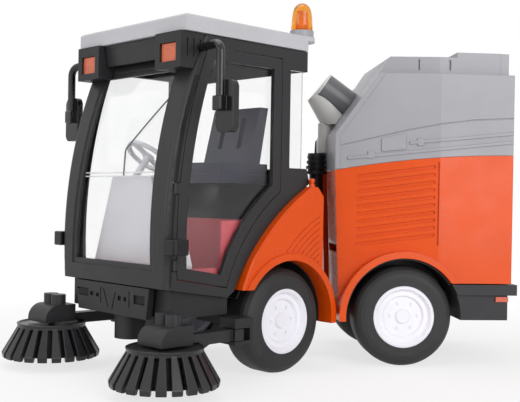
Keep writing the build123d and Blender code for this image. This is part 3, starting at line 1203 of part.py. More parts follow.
# Place both halves and write every piece
front_place = Location((AXLE_X, AXLE_Y, 0))
rear_place = front_place * Location((-PIVOT_BEHIND_AXLE, 0, 0), (0, 0, -ARTICULATION))
pieces = {name: part.moved(front_place) for name, part in front.items()}
pieces.update({name: part.moved(rear_place) for name, part in rear.items()})
os.makedirs("parts", exist_ok=True)
for name, part in pieces.items():
    part.label = name
    export_step(part, f"parts/{name}.step")
box = Compound(children=list(pieces.values())).bounding_box()
print("pieces", len(pieces), "low", box.min, "high", box.max)
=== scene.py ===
"""Finish, small trim, camera and light for the toy street sweeper. All lengths are in metres."""
from math import cos, pi, radians, sin, tan

import bmesh
import bpy
from mathutils import Matrix, Vector


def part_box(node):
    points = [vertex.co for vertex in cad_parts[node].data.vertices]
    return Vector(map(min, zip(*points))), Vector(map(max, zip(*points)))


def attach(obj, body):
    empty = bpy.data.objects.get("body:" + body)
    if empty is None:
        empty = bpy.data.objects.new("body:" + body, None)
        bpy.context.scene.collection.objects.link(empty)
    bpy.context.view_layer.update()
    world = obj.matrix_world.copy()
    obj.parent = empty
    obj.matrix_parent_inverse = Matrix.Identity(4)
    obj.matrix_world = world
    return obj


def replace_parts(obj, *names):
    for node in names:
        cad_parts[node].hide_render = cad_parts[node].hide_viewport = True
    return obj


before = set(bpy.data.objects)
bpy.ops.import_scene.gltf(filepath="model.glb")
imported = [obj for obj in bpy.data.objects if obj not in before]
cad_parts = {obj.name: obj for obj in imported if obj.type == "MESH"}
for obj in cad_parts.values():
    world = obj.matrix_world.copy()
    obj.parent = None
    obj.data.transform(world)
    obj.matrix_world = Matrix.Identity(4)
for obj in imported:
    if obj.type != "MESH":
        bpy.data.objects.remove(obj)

bl_info = {
    "name": "Toy Street Sweeper Finish",
    "version": (1, 0, 0),
    "blender": (4, 5, 0),
    "location": "View3D > Sidebar > Sweeper",
    "description": "Dresses the packed toy street sweeper with its plastics, small trim, light and camera",
    "category": "Object",
}

MM = 0.001
WHITE = (1.0, 1.0, 1.0)
BOTH = (1.0, -1.0)

# Height of the point that the lamps aim at
LOOK_AT_Z = 0.10
# How far ahead of the cab's origin the search for the windscreen's face starts
CAST_FROM = 0.3
# Cuts across a bar, so that it can follow the windscreen's curve
BAR_CUTS = 14


def colour(name, description, default):
    """A colour that a user may change."""
    return bpy.props.FloatVectorProperty(
        name=name, description=description, default=default, subtype="COLOR", size=3, min=0.0, max=1.0
    )


def length(name, description, default):
    """A length that a user may change."""
    return bpy.props.FloatProperty(
        name=name, description=description, default=default, unit="LENGTH", subtype="DISTANCE", precision=5
    )


def amount(name, description, default, low=0.0, high=10.0):
    """A plain number that a user may change."""
    return bpy.props.FloatProperty(name=name, description=description, default=default, min=low, max=high)


def spot(name, description, default):
    """A side and height that a user may change."""
    return bpy.props.FloatVectorProperty(
        name=name, description=description, default=default, size=2, unit="LENGTH"
    )


def heading(name, description, degrees):
    """An angle that a user may change."""
    return bpy.props.FloatProperty(
        name=name, description=description, default=radians(degrees), subtype="ANGLE", unit="ROTATION"
    )


class SweeperColours(bpy.types.PropertyGroup):
    """Colours of the moulded pieces."""

    body_orange: colour("Body orange", "Hopper, rear door and fenders", (0.71, 0.074, 0.001))
    cab_black: colour("Cab black", "Cab frame and doors", (0.025, 0.025, 0.027))
    frame_black: colour("Frame black", "Chassis, pipes and lamp housings", (0.020, 0.020, 0.022))
    mirror_black: colour("Mirror black", "Mirrors and their tubes", (0.008, 0.008, 0.009))
    arm_black: colour("Arm black", "Brush arms", (0.022, 0.022, 0.024))
    brush_dark: colour("Brush black", "Brush tines", (0.024, 0.024, 0.026))
    bumper_grey: colour("Bumper grey", "Rear bumper", (0.030, 0.030, 0.033))
    roof_grey: colour("Roof grey", "Roof of the cab", (0.52, 0.52, 0.545))
    shell_grey: colour("Silver grey", "Hopper cover and beacon ring", (0.34, 0.34, 0.365))
    stub_grey: colour("Duct grey", "Stub of the intake duct", (0.16, 0.16, 0.17))
    # painted highlight: the elbow's pale tone stands for the white light falling on the elbow hood and drop
    # tube
    elbow_pale: colour("Elbow highlight", "Elbow hood and drop tube", (0.72, 0.72, 0.70))
    rim_white: colour("Rim white", "Wheel rims", (0.88, 0.88, 0.94))
    tyre_black: colour("Tyre black", "Tyres", (0.017, 0.017, 0.018))
    lamp_orange: colour("Lamp salmon", "Roof lamp lenses", (0.66, 0.15, 0.07))
    lamp_red: colour("Lamp red", "Tail lamps", (0.60, 0.13, 0.08))
    amber: colour("Beacon amber", "Beacon lens", (0.95, 0.36, 0.015))
    amber_core: colour("Beacon core", "Reflector inside the beacon", (0.80, 0.12, 0.004))
    tub_red: colour("Tub red", "Floor tub of the cab", (0.62, 0.10, 0.12))
    seat_grey: colour("Seat grey", "Driver's seat", (0.040, 0.042, 0.068))
    inner_pale: colour("Inner pale", "Dash console and steering wheel", (0.70, 0.70, 0.74))
    axle_steel: colour("Axle steel", "Axles and steering pin", (0.55, 0.55, 0.57))
    clear: colour("Clear plastic", "Window panes", (0.985, 0.988, 0.99))


class SweeperTrim(bpy.types.PropertyGroup):
    """Sizes of the small trim, in the cab's own frame."""

    wiper_foot: spot("Wiper foot", "Side and height of the wiper's foot", (0.0040, 0.1180))
    wiper_knee: spot("Wiper knee", "Side and height of the wiper's bend", (0.0018, 0.1335))
    wiper_tip: spot("Wiper tip", "Side and height of the wiper's tip", (0.0339, 0.1633))
    wiper_width: length("Wiper width", "Width of the moulded wiper", 0.0008)
    ridge_height: length("Ridge height", "Height of the ridge across the windscreen", 0.1200)
    ridge_width: length("Ridge width", "Width of each line of the ridge", 0.0007)
    core_radius: length("Core radius", "Radius of the reflector in the beacon", 0.0030)
    core_height: length("Core height", "Height of the reflector in the beacon", 0.0110)


class SweeperForms(bpy.types.PropertyGroup):
    """Sizes of the larger pieces that the scene adds or replaces."""

    mirror_corner: length("Mirror corner", "Radius of the mirrors' rounded corners", 0.0034)
    tines: bpy.props.IntProperty(name="Tines", description="Tines of each brush", default=22, min=8, max=60)
    tine_gap: length("Tine gap", "Gap between two tines", 0.0026)
    liner_front: length("Front liner", "Inner radius of the front wheel housings", 0.0366)
    liner_rear: length("Rear liner", "Inner radius of the rear wheel housings", 0.0362)
    liner_wall: length("Liner wall", "Wall of the wheel housings", 0.0012)
    brow_low: length("Brow height", "Lower edge of the dark panel between the roof lamps", 0.1850)
    brow_front: length("Brow front", "Front face of the dark panel between the roof lamps", 0.0772)
    shade_strip_width: length("Shade strip width", "Width of the painted shade strip along the cab's corner, at its top", 0.0034)
    dome_radius: length("Dome radius", "Radius of the beacon's dome", 0.0067)


class SweeperStage(bpy.types.PropertyGroup):
    """Camera and lights."""

    eye: bpy.props.FloatVectorProperty(
        name="Eye", description="Place of the camera", default=(0.42505, 0.41317, 0.1078), size=3,
        subtype="TRANSLATION", unit="LENGTH",
    )
    yaw: heading("Yaw", "Heading of the view", 226.37)
    pitch: heading("Pitch", "Rise of the view", -0.33)
    roll: heading("Roll", "Turn about the view", -0.98)
    lens: amount("Lens", "Focal length in millimetres", 62.09, 10.0, 300.0)
    fill: amount("Fill", "Strength of the surrounding light", 0.36)
    floor_tone: colour("Floor tone", "Colour of the pale floor", (0.92, 0.92, 0.92))
    floor_size: length("Floor size", "Half width of the floor", 6.0)


def placed(name, data):
    """A new object in the scene."""
    thing = bpy.data.objects.new(name, data)
    bpy.context.scene.collection.objects.link(thing)
    return thing


# Materials

# Grey that rubbed edges turn towards, and how far they turn
RUBBED_TONE = 0.75
RUBBED_SHARE = 0.35
# How far smears lower and raise a plastic's roughness
SMEAR_BELOW = 0.05
SMEAR_ABOVE = 0.07


def set_range(node, from_low, from_high, to_low, to_high):
    """Sets the four limits of a range node."""
    limits = {"From Min": from_low, "From Max": from_high, "To Min": to_low, "To Max": to_high}
    for entry, value in limits.items():
        node.inputs[entry].default_value = value


class Paint:
    """A node material under construction: a principled shader with named helpers around it."""

    def __init__(self, name):
        self.material = bpy.data.materials.new(name)
        self.material.use_nodes = True
        self.tree = self.material.node_tree
        self.tree.nodes.clear()
        self.out = self.add("ShaderNodeOutputMaterial")
        self.shader = self.add("ShaderNodeBsdfPrincipled")
        self.join(self.shader, "BSDF", self.out, "Surface")
        self.place = self.add("ShaderNodeTexCoord")

    def add(self, kind, **values):
        """Adds a node and sets its own fields."""
        node = self.tree.nodes.new(kind)
        for field, value in values.items():
            setattr(node, field, value)
        return node

    def join(self, source, output, target, entry):
        """Links one socket to another."""
        self.tree.links.new(source.outputs[output], target.inputs[entry])

    def set(self, **values):
        """Sets sockets of the principled shader, with spaces written as underscores."""
        for field, value in values.items():
            socket = self.shader.inputs[field.replace("_", " ")]
            socket.default_value = (*value, 1.0) if hasattr(value, "__len__") and len(value) == 3 else value
        return self

    def noise(self, scale, detail=2.0, roughness=0.5):
        """A cloud of noise fixed to the piece."""
        node = self.add("ShaderNodeTexNoise")
        node.inputs["Scale"].default_value = scale
        node.inputs["Detail"].default_value = detail
        node.inputs["Roughness"].default_value = roughness
        self.join(self.place, "Object", node, "Vector")
        return node

    def between(self, source, output, low, high, from_low=0.3, from_high=0.7):
        """Spreads a value between two others."""
        node = self.add("ShaderNodeMapRange")
        set_range(node, from_low, from_high, low, high)
        self.join(source, output, node, "Value")
        return node

    def blend(self, factor, output, first, second):
        """A colour between two, each a colour or a node's Result."""
        node = self.add("ShaderNodeMix", data_type="RGBA")
        self.join(factor, output, node, "Factor")
        for entry, value in ((6, first), (7, second)):
            if isinstance(value, bpy.types.Node):
                self.tree.links.new(value.outputs[2], node.inputs[entry])
            else:
                node.inputs[entry].default_value = (*value, 1.0)
        return node

    def mottle(self, source, first, second, *limits):
        """A colour that drifts between two along a noise."""
        return self.blend(self.between(source, "Fac", 0.0, 1.0, *limits), "Result", first, second)

    def coat(self, colour_node):
        """Gives the shader the colour of a node."""
        self.tree.links.new(colour_node.outputs[2], self.shader.inputs["Base Color"])

    def roughen(self, source, low, high):
        """Lets the shader's roughness drift between two values along a noise."""
        self.join(self.between(source, "Fac", low, high), "Result", self.shader, "Roughness")

    def rounded(self, radius):
        """Softened edges: the normal that a small moulding radius would give."""
        node = self.add("ShaderNodeBevel", samples=4)
        node.inputs["Radius"].default_value = radius
        return node

    def edge_mask(self, rounded, low=0.80, high=0.995):
        """One along sharp edges and nothing on open faces."""
        plain = self.add("ShaderNodeNewGeometry")
        dot = self.add("ShaderNodeVectorMath", operation="DOT_PRODUCT")
        self.join(rounded, "Normal", dot, 0)
        self.join(plain, "Normal", dot, 1)
        return self.between(dot, "Value", 1.0, 0.0, low, high)

    def bump(self, height, output, strength, distance, under=None):
        """Fine relief on the shader's normal, over the softened edges."""
        node = self.add("ShaderNodeBump")
        node.inputs["Strength"].default_value = strength
        node.inputs["Distance"].default_value = distance
        self.join(height, output, node, "Height")
        if under is not None:
            self.join(under, "Normal", node, "Normal")
        self.join(node, "Normal", self.shader, "Normal")
        return node


def shade(base, factor):
    """A colour made darker or lighter."""
    return tuple(min(1.0, channel * factor) for channel in base)


def moulded(name, base, roughness, wear=0.25, grain=0.12, radius=0.5 * MM, drift=0.10, gloss=0.3):
    """Moulded plastic: slight colour drift, fine grain, and soft edges that are rubbed a little paler."""
    paint = Paint(name)
    body = paint.mottle(paint.noise(22.0, 3.0), shade(base, 1.0 - drift), shade(base, 1.0 + drift))
    rounded = paint.rounded(radius)
    rub = paint.noise(260.0, 4.0, 0.7)
    rubbed = paint.add("ShaderNodeMath", operation="MULTIPLY")
    paint.join(paint.edge_mask(rounded), "Result", rubbed, 0)
    paint.join(paint.between(rub, "Fac", 0.0, wear, 0.42, 0.66), "Result", rubbed, 1)
    pale = tuple(channel + (RUBBED_TONE - channel) * RUBBED_SHARE for channel in base)
    paint.coat(paint.blend(rubbed, "Value", body, pale))
    paint.roughen(paint.noise(70.0, 3.0, 0.6), roughness - SMEAR_BELOW, roughness + SMEAR_ABOVE)
    paint.bump(paint.noise(2600.0, 1.0), "Fac", grain, 0.05 * MM, rounded)
    return paint.set(IOR=1.47, Specular_IOR_Level=gloss)


def rubber(name, base):
    """Tyre rubber: dull, dusty in patches and finely pitted."""
    paint = Paint(name)
    dust = paint.noise(55.0, 5.0, 0.65)
    paint.coat(paint.mottle(dust, base, shade(base, 1.9), 0.38, 0.72))
    paint.roughen(dust, 0.52, 0.66)
    paint.bump(paint.noise(1500.0, 2.0, 0.6), "Fac", 0.25, 0.08 * MM, paint.rounded(0.8 * MM))
    return paint.set(IOR=1.42)


def brushed_steel(name, base):
    """Drawn steel rod: streaks along the rod and a little tarnish."""
    paint = Paint(name)
    stretch = paint.add("ShaderNodeMapping")
    stretch.inputs["Scale"].default_value = (900.0, 12.0, 900.0)
    paint.join(paint.place, "Object", stretch, "Vector")
    streaks = paint.add("ShaderNodeTexNoise")
    streaks.inputs["Scale"].default_value = 1.0
    streaks.inputs["Detail"].default_value = 3.0
    paint.join(stretch, "Vector", streaks, "Vector")
    paint.coat(paint.mottle(streaks, shade(base, 0.8), shade(base, 1.15)))
    paint.roughen(streaks, 0.22, 0.38)
    paint.bump(streaks, "Fac", 0.1, 0.02 * MM, paint.rounded(0.3 * MM))
    return paint.set(Metallic=1.0)


def clear_pane(name, base, haze=0.0):
    """Clear moulded pane: a touch of haze, faint waviness and sharp reflections."""
    paint = Paint(name)
    waves = paint.noise(30.0, 2.0)
    paint.coat(paint.mottle(waves, shade(base, 0.97), shade(base, 1.03)))
    paint.roughen(waves, 0.0, 0.035)
    paint.bump(waves, "Fac", 0.05, 0.2 * MM)
    return paint.set(Transmission_Weight=1.0 - haze, IOR=1.33)


def lens(name, base, transmission):
    """Coloured lens plastic with a fine grain of relief."""
    paint = Paint(name)
    depth = paint.noise(160.0, 2.0)
    paint.coat(paint.mottle(depth, shade(base, 0.85), shade(base, 1.12)))
    paint.roughen(depth, 0.08, 0.20)
    paint.bump(paint.noise(420.0, 1.0), "Fac", 0.15, 0.1 * MM, paint.rounded(0.4 * MM))
    return paint.set(Transmission_Weight=transmission, IOR=1.45)


def wear(paint, *nodes):
    """Puts a finish on CAD nodes in place of their plain one."""
    for name in nodes:
        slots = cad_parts[name].data.materials
        slots.clear()
        slots.append(paint.material)


def sides(*names):
    """Both hands of each name."""
    return [name + hand for name in names for hand in ("_left", "_right")]


# Meshes


def new_piece(name, mesh, paint, body, smooth=True):
    """Turns a bmesh into a piece that rides on a body."""
    bmesh.ops.recalc_face_normals(mesh, faces=mesh.faces)
    data = bpy.data.meshes.new(name)
    mesh.to_mesh(data)
    mesh.free()
    for face in data.polygons:
        face.use_smooth = smooth
    data.materials.append(paint.material)
    piece = placed(name, data)
    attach(piece, body)
    return piece


def ground_under(box):
    """The point on the ground under the middle of a box, given by its low and high corners."""
    low, high = box
    return Vector(((low.x + high.x) / 2, (low.y + high.y) / 2, 0.0))


def cab_origin():
    """The point on the ground under the front axle, which the cab's sizes are measured from."""
    return ground_under(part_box("front_axle"))


def cab_point(forward, side, height):
    """A point given in the cab's own frame."""
    return cab_origin() + Vector((forward, side, height))


def hopper_point(forward, side, height):
    """A point given in the hopper's own frame, with its origin on the ground under the steering pivot."""
    pivot = ground_under(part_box("pivot_pin"))
    ahead = (pivot - ground_under(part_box("rear_axle"))).normalized()
    left = Vector((-ahead.y, ahead.x, 0.0))
    return pivot + ahead * forward + left * side + Vector((0.0, 0.0, height))


def side_place(side):
    """Places a point of a side view, given as forward place, height and distance from the cab's middle."""
    return lambda u, v, w: cab_point(u, side * w, v)


def front_place(side):
    """Places a point of a front view, given as distance from the middle, height and forward place."""
    return lambda u, v, w: cab_point(w, side * u, v)


def plan_place(side):
    """Places a point of a plan, given as forward place, distance from the middle and height."""
    return lambda u, v, w: cab_point(u, side * v, w)


def in_metres(points):
    """Pairs in millimetres as pairs in metres."""
    return [(u * MM, v * MM) for u, v in points]


def soften(mesh, edges, radius, segments, clamp=True):
    """Rounds edges of a mesh."""
    bmesh.ops.bevel(
        mesh, geom=edges, offset=radius, offset_type="OFFSET", affect="EDGES", segments=segments, profile=0.5,
        material=-1, clamp_overlap=clamp,
    )


def bridge(mesh, near, far, soft=0.0, segments=2):
    """Closes two equal loops of corners into a solid, with its edges softened."""
    faces = [mesh.faces.new(near), mesh.faces.new(list(reversed(far)))]
    for k in range(len(near)):
        nxt = (k + 1) % len(near)
        faces.append(mesh.faces.new((near[k], far[k], far[nxt], near[nxt])))
    if soft:
        soften(mesh, list({edge for face in faces for edge in face.edges}), soft, segments)


def slab(mesh, outline, place, low, high, soft=0.0, segments=2):
    """Adds a closed slab of an outline between two depths, with its edges softened."""
    near, far = ([mesh.verts.new(place(u, v, depth)) for u, v in outline] for depth in (low, high))
    bridge(mesh, near, far, soft, segments)


def lathe(mesh, profile, middle, segments=48, closed=False):
    """Adds a turned form: radius and height pairs spun about an upright line through a point."""
    rings = []
    for radius, height in profile:
        turns = [2.0 * pi * k / segments for k in range(segments)] if radius > 0.0 else [0.0]
        spots = [Vector((radius * cos(turn), radius * sin(turn), height)) for turn in turns]
        rings.append([mesh.verts.new(middle + place) for place in spots])
    pairs = list(zip(rings, rings[1:]))
    if closed:
        pairs.append((rings[-1], rings[0]))
    for lower, upper in pairs:
        for k in range(segments):
            nxt = (k + 1) % segments
            around = ((lower, k), (lower, nxt), (upper, nxt), (upper, k))
            corners = list(dict.fromkeys(ring[j % len(ring)] for ring, j in around))
            if len(corners) > 2:
                mesh.faces.new(corners)


def arc(radius, turns, middle):
    """Points round a middle at given turns."""
    return [(middle[0] + radius * cos(turn), middle[1] + radius * sin(turn)) for turn in turns]


def sector(radius_in, radius_out, start, end, middle, steps=28):
    """Corners of a ring's part, in the plane of its middle, from one angle to another."""
    turns = [radians(start + (end - start) * k / steps) for k in range(steps + 1)]
    return arc(radius_out, turns, middle) + arc(radius_in, turns[::-1], middle)


def pane_x(side, height):
    """How far forward the windscreen's outer face stands at a side and height."""
    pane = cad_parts["windscreen"]
    base = cab_origin()
    start = Vector((base.x + CAST_FROM, base.y + side, height))
    hit, spot, _normal, _face = pane.ray_cast(start, Vector((-1.0, 0.0, 0.0)))
    if not hit:
        raise ValueError("the windscreen has no face at side %.4f and height %.4f" % (side, height))
    return spot.x


def pane_bar(mesh, start, end, width, proud):
    """A thin bar that follows the windscreen from one side and height to another."""
    run = Vector(end) - Vector(start)
    earlier = len(mesh.verts)
    made = bmesh.ops.create_cube(mesh, size=1.0)["verts"]
    bmesh.ops.scale(mesh, vec=Vector((proud, run.length, width)), verts=made)
    along = [e for v in made for e in v.link_edges if abs(e.verts[0].co.y - e.verts[1].co.y) > run.length / 2]
    bmesh.ops.subdivide_edges(mesh, edges=list(set(along)), cuts=BAR_CUTS)
    made = list(mesh.verts)[earlier:]
    turn = Matrix.Rotation(Vector((1.0, 0.0)).angle_signed(run, 0.0), 3, "X")
    bmesh.ops.rotate(mesh, verts=made, cent=(0, 0, 0), matrix=turn.inverted())
    middle = (Vector(start) + Vector(end)) / 2
    base = cab_origin()
    for vert in made:
        side, height = vert.co.y + middle.x, vert.co.z + middle.y
        vert.co = Vector((pane_x(side, height) + vert.co.x, base.y + side, height))


# Operators


class Step:
    """A step of the finish, which dresses some of the pieces."""

    def execute(self, context):
        self.dress(context.scene, context.scene.sweeper_colours)
        return {"FINISHED"}


class SWEEPER_OT_tyres(Step, bpy.types.Operator):
    """Rubber for the four tyres"""

    bl_idname = "sweeper.tyres"
    bl_label = "Tyres"

    def dress(self, scene, tones):
        wear(rubber("tyre_black", tones.tyre_black), *sides("front_tyre", "rear_tyre"))


class SWEEPER_OT_rims(Step, bpy.types.Operator):
    """White plastic for the rims"""

    bl_idname = "sweeper.rims"
    bl_label = "Rims"

    def dress(self, scene, tones):
        paint = moulded("rim_white", tones.rim_white, 0.36, wear=0.1, grain=0.05, drift=0.03)
        wear(paint, *sides("front_rim", "rear_rim"))


class SWEEPER_OT_axles(Step, bpy.types.Operator):
    """Steel for the axles and the steering pin"""

    bl_idname = "sweeper.axles"
    bl_label = "Axles"

    def dress(self, scene, tones):
        wear(brushed_steel("axle_steel", tones.axle_steel), "front_axle", "rear_axle", "pivot_pin")


class SWEEPER_OT_cab_frame(Step, bpy.types.Operator):
    """Satin black plastic for the cab frame and the doors"""

    bl_idname = "sweeper.cab_frame"
    bl_label = "Cab frame"

    def dress(self, scene, tones):
        paint = moulded("cab_black", tones.cab_black, 0.42, wear=0.12, radius=0.8 * MM)
        wear(paint, "cab_frame", *sides("door"))


class SWEEPER_OT_panes(Step, bpy.types.Operator):
    """Clear plastic for the windows"""

    bl_idname = "sweeper.panes"
    bl_label = "Windows"

    def dress(self, scene, tones):
        wear(clear_pane("clear", tones.clear), "windscreen", "rear_glass", *sides("door_glass"))


class SWEEPER_OT_wiper(Step, bpy.types.Operator):
    """Moulded wiper and the double ridge on the windscreen"""

    bl_idname = "sweeper.wiper"
    bl_label = "Wiper"

    # bare strip of the windscreen at each end of the ridge
    RIDGE_MARGIN = 4 * MM

    def dress(self, scene, tones):
        sizes = scene.sweeper_trim
        thickness = sizes.wiper_width
        arm = bmesh.new()
        pane_bar(arm, sizes.wiper_foot, sizes.wiper_knee, thickness, thickness)
        pane_bar(arm, sizes.wiper_knee, sizes.wiper_tip, thickness, thickness)
        paint = moulded("wiper_grey", shade(tones.shell_grey, 0.45), 0.3, wear=0.1)
        new_piece("wiper", arm, paint, "front")
        low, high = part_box("windscreen")
        reach = (high.y - low.y) / 2 - self.RIDGE_MARGIN
        ridge = bmesh.new()
        for height in (sizes.ridge_height, sizes.ridge_height - 3 * sizes.ridge_width):
            pane_bar(ridge, (-reach, height), (reach, height), sizes.ridge_width, sizes.ridge_width)
        paint = clear_pane("ridge_clear", tones.clear, 0.35)
        new_piece("screen_ridge", ridge, paint, "front")


class SWEEPER_OT_chassis(Step, bpy.types.Operator):
    """Dark plastic for the chassis, the skirts, the front plate, pipes, lamp housings and the bumper"""

    bl_idname = "sweeper.chassis"
    bl_label = "Chassis and small black parts"

    def dress(self, scene, tones):
        paint = moulded("frame_black", tones.frame_black, 0.45, wear=0.15)
        wear(paint, "front_chassis", "side_skirts", "rear_chassis", "front_plate", "suction_pipe")
        wear(paint, "riser_pipe", "bellows", "lamp_housings")
        wear(moulded("bumper_grey", tones.bumper_grey, 0.45, wear=0.15), "bumper")


class SWEEPER_OT_roof(Step, bpy.types.Operator):
    """Pale grey plastics for the roof, the hopper cover, the beacon ring and the intake duct; the duct's pale
    elbow is a painted highlight
    """

    bl_idname = "sweeper.roof"
    bl_label = "Roof and cover"

    def dress(self, scene, tones):
        paint = moulded("shell_grey", tones.shell_grey, 0.34, wear=0.2, grain=0.06, drift=0.05)
        wear(paint, "hopper_cover", "beacon_base")
        wear(moulded("roof_grey", tones.roof_grey, 0.34, wear=0.2, grain=0.06, drift=0.05), "roof")
        wear(moulded("stub_grey", tones.stub_grey, 0.2, wear=0.1, grain=0.04), "duct_stub")
        # painted highlight: the elbow and drop tube are coloured pale in place of the light that falls on
        # them
        wear(moulded("elbow_pale", tones.elbow_pale, 0.18, wear=0.1, grain=0.04, drift=0.04), "duct_elbow")


class SWEEPER_OT_body(Step, bpy.types.Operator):
    """Glossy orange plastic for the hopper, its door and the fenders"""

    bl_idname = "sweeper.body"
    bl_label = "Orange body"

    def dress(self, scene, tones):
        paint = moulded("body_orange", tones.body_orange, 0.27, wear=0.2, grain=0.05, drift=0.05)
        wear(paint, "hopper_body", "hopper_door", *sides("fender"))


class SWEEPER_OT_lamps(Step, bpy.types.Operator):
    """Lenses of the roof and tail lamps, and the beacon with its reflector core"""

    bl_idname = "sweeper.lamps"
    bl_label = "Lamps and beacon"

    # height and radius of each ring of the dome, as shares of its height and width
    DOME = (
        (0.0, 1.0), (0.25, 0.985), (0.5, 0.94), (0.66, 0.88), (0.78, 0.79), (0.87, 0.66), (0.94, 0.47),
        (0.98, 0.27),
    )
    # gap under the top of the lens that the dome replaces
    DOME_HEADROOM = 1.0 * MM
    # the reflector's height over the lens's foot, its upper radius as a share, and its rounding
    CORE_FOOT = 1.0 * MM
    CORE_TAPER = 0.7
    CORE_SOFT = 0.5 * MM

    def dress(self, scene, tones):
        sizes = scene.sweeper_trim
        wear(lens("lamp_orange", tones.lamp_orange, 0.0), "roof_lamps")
        wear(lens("lamp_red", tones.lamp_red, 0.0), "tail_lamps")
        low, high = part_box("beacon_lens")
        middle = ground_under((low, high)) + Vector((0.0, 0.0, low.z))
        wide = scene.sweeper_forms.dome_radius
        tall = high.z - low.z - self.DOME_HEADROOM
        dome = bmesh.new()
        skin = [(wide * radius, tall * height) for height, radius in self.DOME]
        lathe(dome, [(0.0, 0.0), *skin, (0.0, tall)], middle)
        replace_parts(new_piece("beacon_dome", dome, lens("amber", tones.amber, 0.75), "front"),
                    "beacon_lens")
        core = bmesh.new()
        bmesh.ops.create_cone(core, cap_ends=True, segments=24, radius1=sizes.core_radius,
                              radius2=sizes.core_radius * self.CORE_TAPER, depth=sizes.core_height)
        rims = [e for e in core.edges if len(e.link_faces) == 2 and e.calc_face_angle() > 1.0]
        soften(core, rims, self.CORE_SOFT, 3, clamp=False)
        rise = middle + Vector((0.0, 0.0, sizes.core_height / 2 + self.CORE_FOOT))
        bmesh.ops.translate(core, vec=rise, verts=core.verts)
        new_piece("beacon_core", core, lens("amber_core", tones.amber_core, 0.0), "front")


class SWEEPER_OT_cab_inside(Step, bpy.types.Operator):
    """Red tub, dark seat, and pale console and steering wheel inside the cab"""

    bl_idname = "sweeper.cab_inside"
    bl_label = "Inside of the cab"

    def dress(self, scene, tones):
        wear(moulded("tub_red", tones.tub_red, 0.4, wear=0.1), "cab_tub")
        wear(moulded("seat_grey", tones.seat_grey, 0.32, wear=0.15, grain=0.02, gloss=0.5), "seat")
        wear(moulded("inner_pale", tones.inner_pale, 0.4, wear=0.1, drift=0.03), "console", "steering_wheel")


class SWEEPER_OT_brushes(Step, bpy.types.Operator):
    """Cup brushes of separate tines round a darker core that is painted shade between the tines, and dark
    plastic for their arms
    """

    bl_idname = "sweeper.brushes"
    bl_label = "Brushes"

    # radius and height of the corners of a tine, of the crown and of the core, in millimetres
    TINE = ((20.3, 25.4), (29.7, 9.3), (29.1, 6.4), (26.6, 6.4), (18.0, 23.6))
    CROWN = (
        (2.1, 17.0), (5.5, 17.0), (5.5, 23.6), (18.0, 23.6), (20.4, 24.4), (21.1, 27.0), (20.4, 27.3),
        (19.7, 26.5), (2.1, 26.5),
    )
    CORE = ((0.0, 8.0), (22.5, 8.0), (16.6, 23.6), (0.0, 23.6))
    TINE_SOFT = 0.35 * MM

    def dress(self, scene, tones):
        wear(moulded("arm_black", tones.arm_black, 0.42, wear=0.15), *sides("brush_arm"))
        sizes = scene.sweeper_forms
        paint = moulded("brush_dark", tones.brush_dark, 0.3, wear=0.25)
        # painted shade: the core is 0.3 of the brush black and matte, so the gaps between the tines read dark
        dark = moulded("brush_shade_core", shade(tones.brush_dark, 0.3), 0.6, wear=0.0, grain=0.02)
        for hand in ("left", "right"):
            middle = ground_under(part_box("brush_" + hand))
            mesh = bmesh.new()
            lathe(mesh, in_metres(self.CROWN), middle, closed=True)
            for k in range(sizes.tines):
                turn = 2.0 * pi * k / sizes.tines
                out, across = Vector((cos(turn), sin(turn), 0.0)), Vector((-sin(turn), cos(turn), 0.0))
                near, far = (
                    [mesh.verts.new(middle + out * radius + Vector((0.0, 0.0, height))
                                    + across * way * (pi * radius / sizes.tines - sizes.tine_gap / 2))
                     for radius, height in in_metres(self.TINE)]
                    for way in BOTH
                )
                bridge(mesh, near, far, self.TINE_SOFT)
            tines = new_piece("brush_tines_" + hand, mesh, paint, "brush_" + hand, smooth=False)
            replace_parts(tines, "brush_" + hand)
            mesh = bmesh.new()
            lathe(mesh, in_metres(self.CORE), middle)
            new_piece("brush_shade_core_" + hand, mesh, dark, "brush_" + hand, smooth=False)


class SWEEPER_OT_liners(Step, bpy.types.Operator):
    """Housings behind the wheels, under the fenders and under the hopper, darkened below the chassis black as
    painted shade in the wheel arches
    """

    bl_idname = "sweeper.liners"
    bl_label = "Wheel housings"

    # depth and thickness of the upright plate behind the wheel, and its lap over the shell
    PLATE_DEPTH = 8.0 * MM
    PLATE_WALL = 1.0 * MM
    PLATE_LAP = 0.2 * MM

    def dress(self, scene, tones):
        sizes = scene.sweeper_forms
        # the housings are real pieces; their darkening to 0.6 of the frame black, and the upright plate
        # behind each wheel, are painted shade in the arches
        paint = moulded("liner_painted_shade", shade(tones.frame_black, 0.6), 0.5, wear=0.05)
        # name, body, frame, x and z of the arch's middle, inner radius, first and last angle, then the
        # distances of the housing's inner and outer end from the middle
        rows = (
            ("front_liners", "front", cab_point, -1.4, 32.0, sizes.liner_front, 24.0, 186.0, 26.4, 45.8),
            ("rear_liners", "hopper", hopper_point, -70.2, 32.0, sizes.liner_rear, 12.0, 146.0, 27.0, 51.5),
        )
        for name, body, frame_point, mid_x, mid_z, radius, start, end, inner, outer in rows:
            mesh = bmesh.new()
            middle = (mid_x * MM, mid_z * MM)
            shell = sector(radius, radius + sizes.liner_wall, start, end, middle)
            plate = sector(radius - self.PLATE_DEPTH, radius + self.PLATE_LAP, start, end, middle)
            for side in BOTH:
                def place(u, v, w, side=side):
                    return frame_point(u, side * w, v)
                slab(mesh, shell, place, inner * MM, outer * MM)
                slab(mesh, plate, place, inner * MM, inner * MM + self.PLATE_WALL)
            new_piece(name, mesh, paint, body, smooth=False)


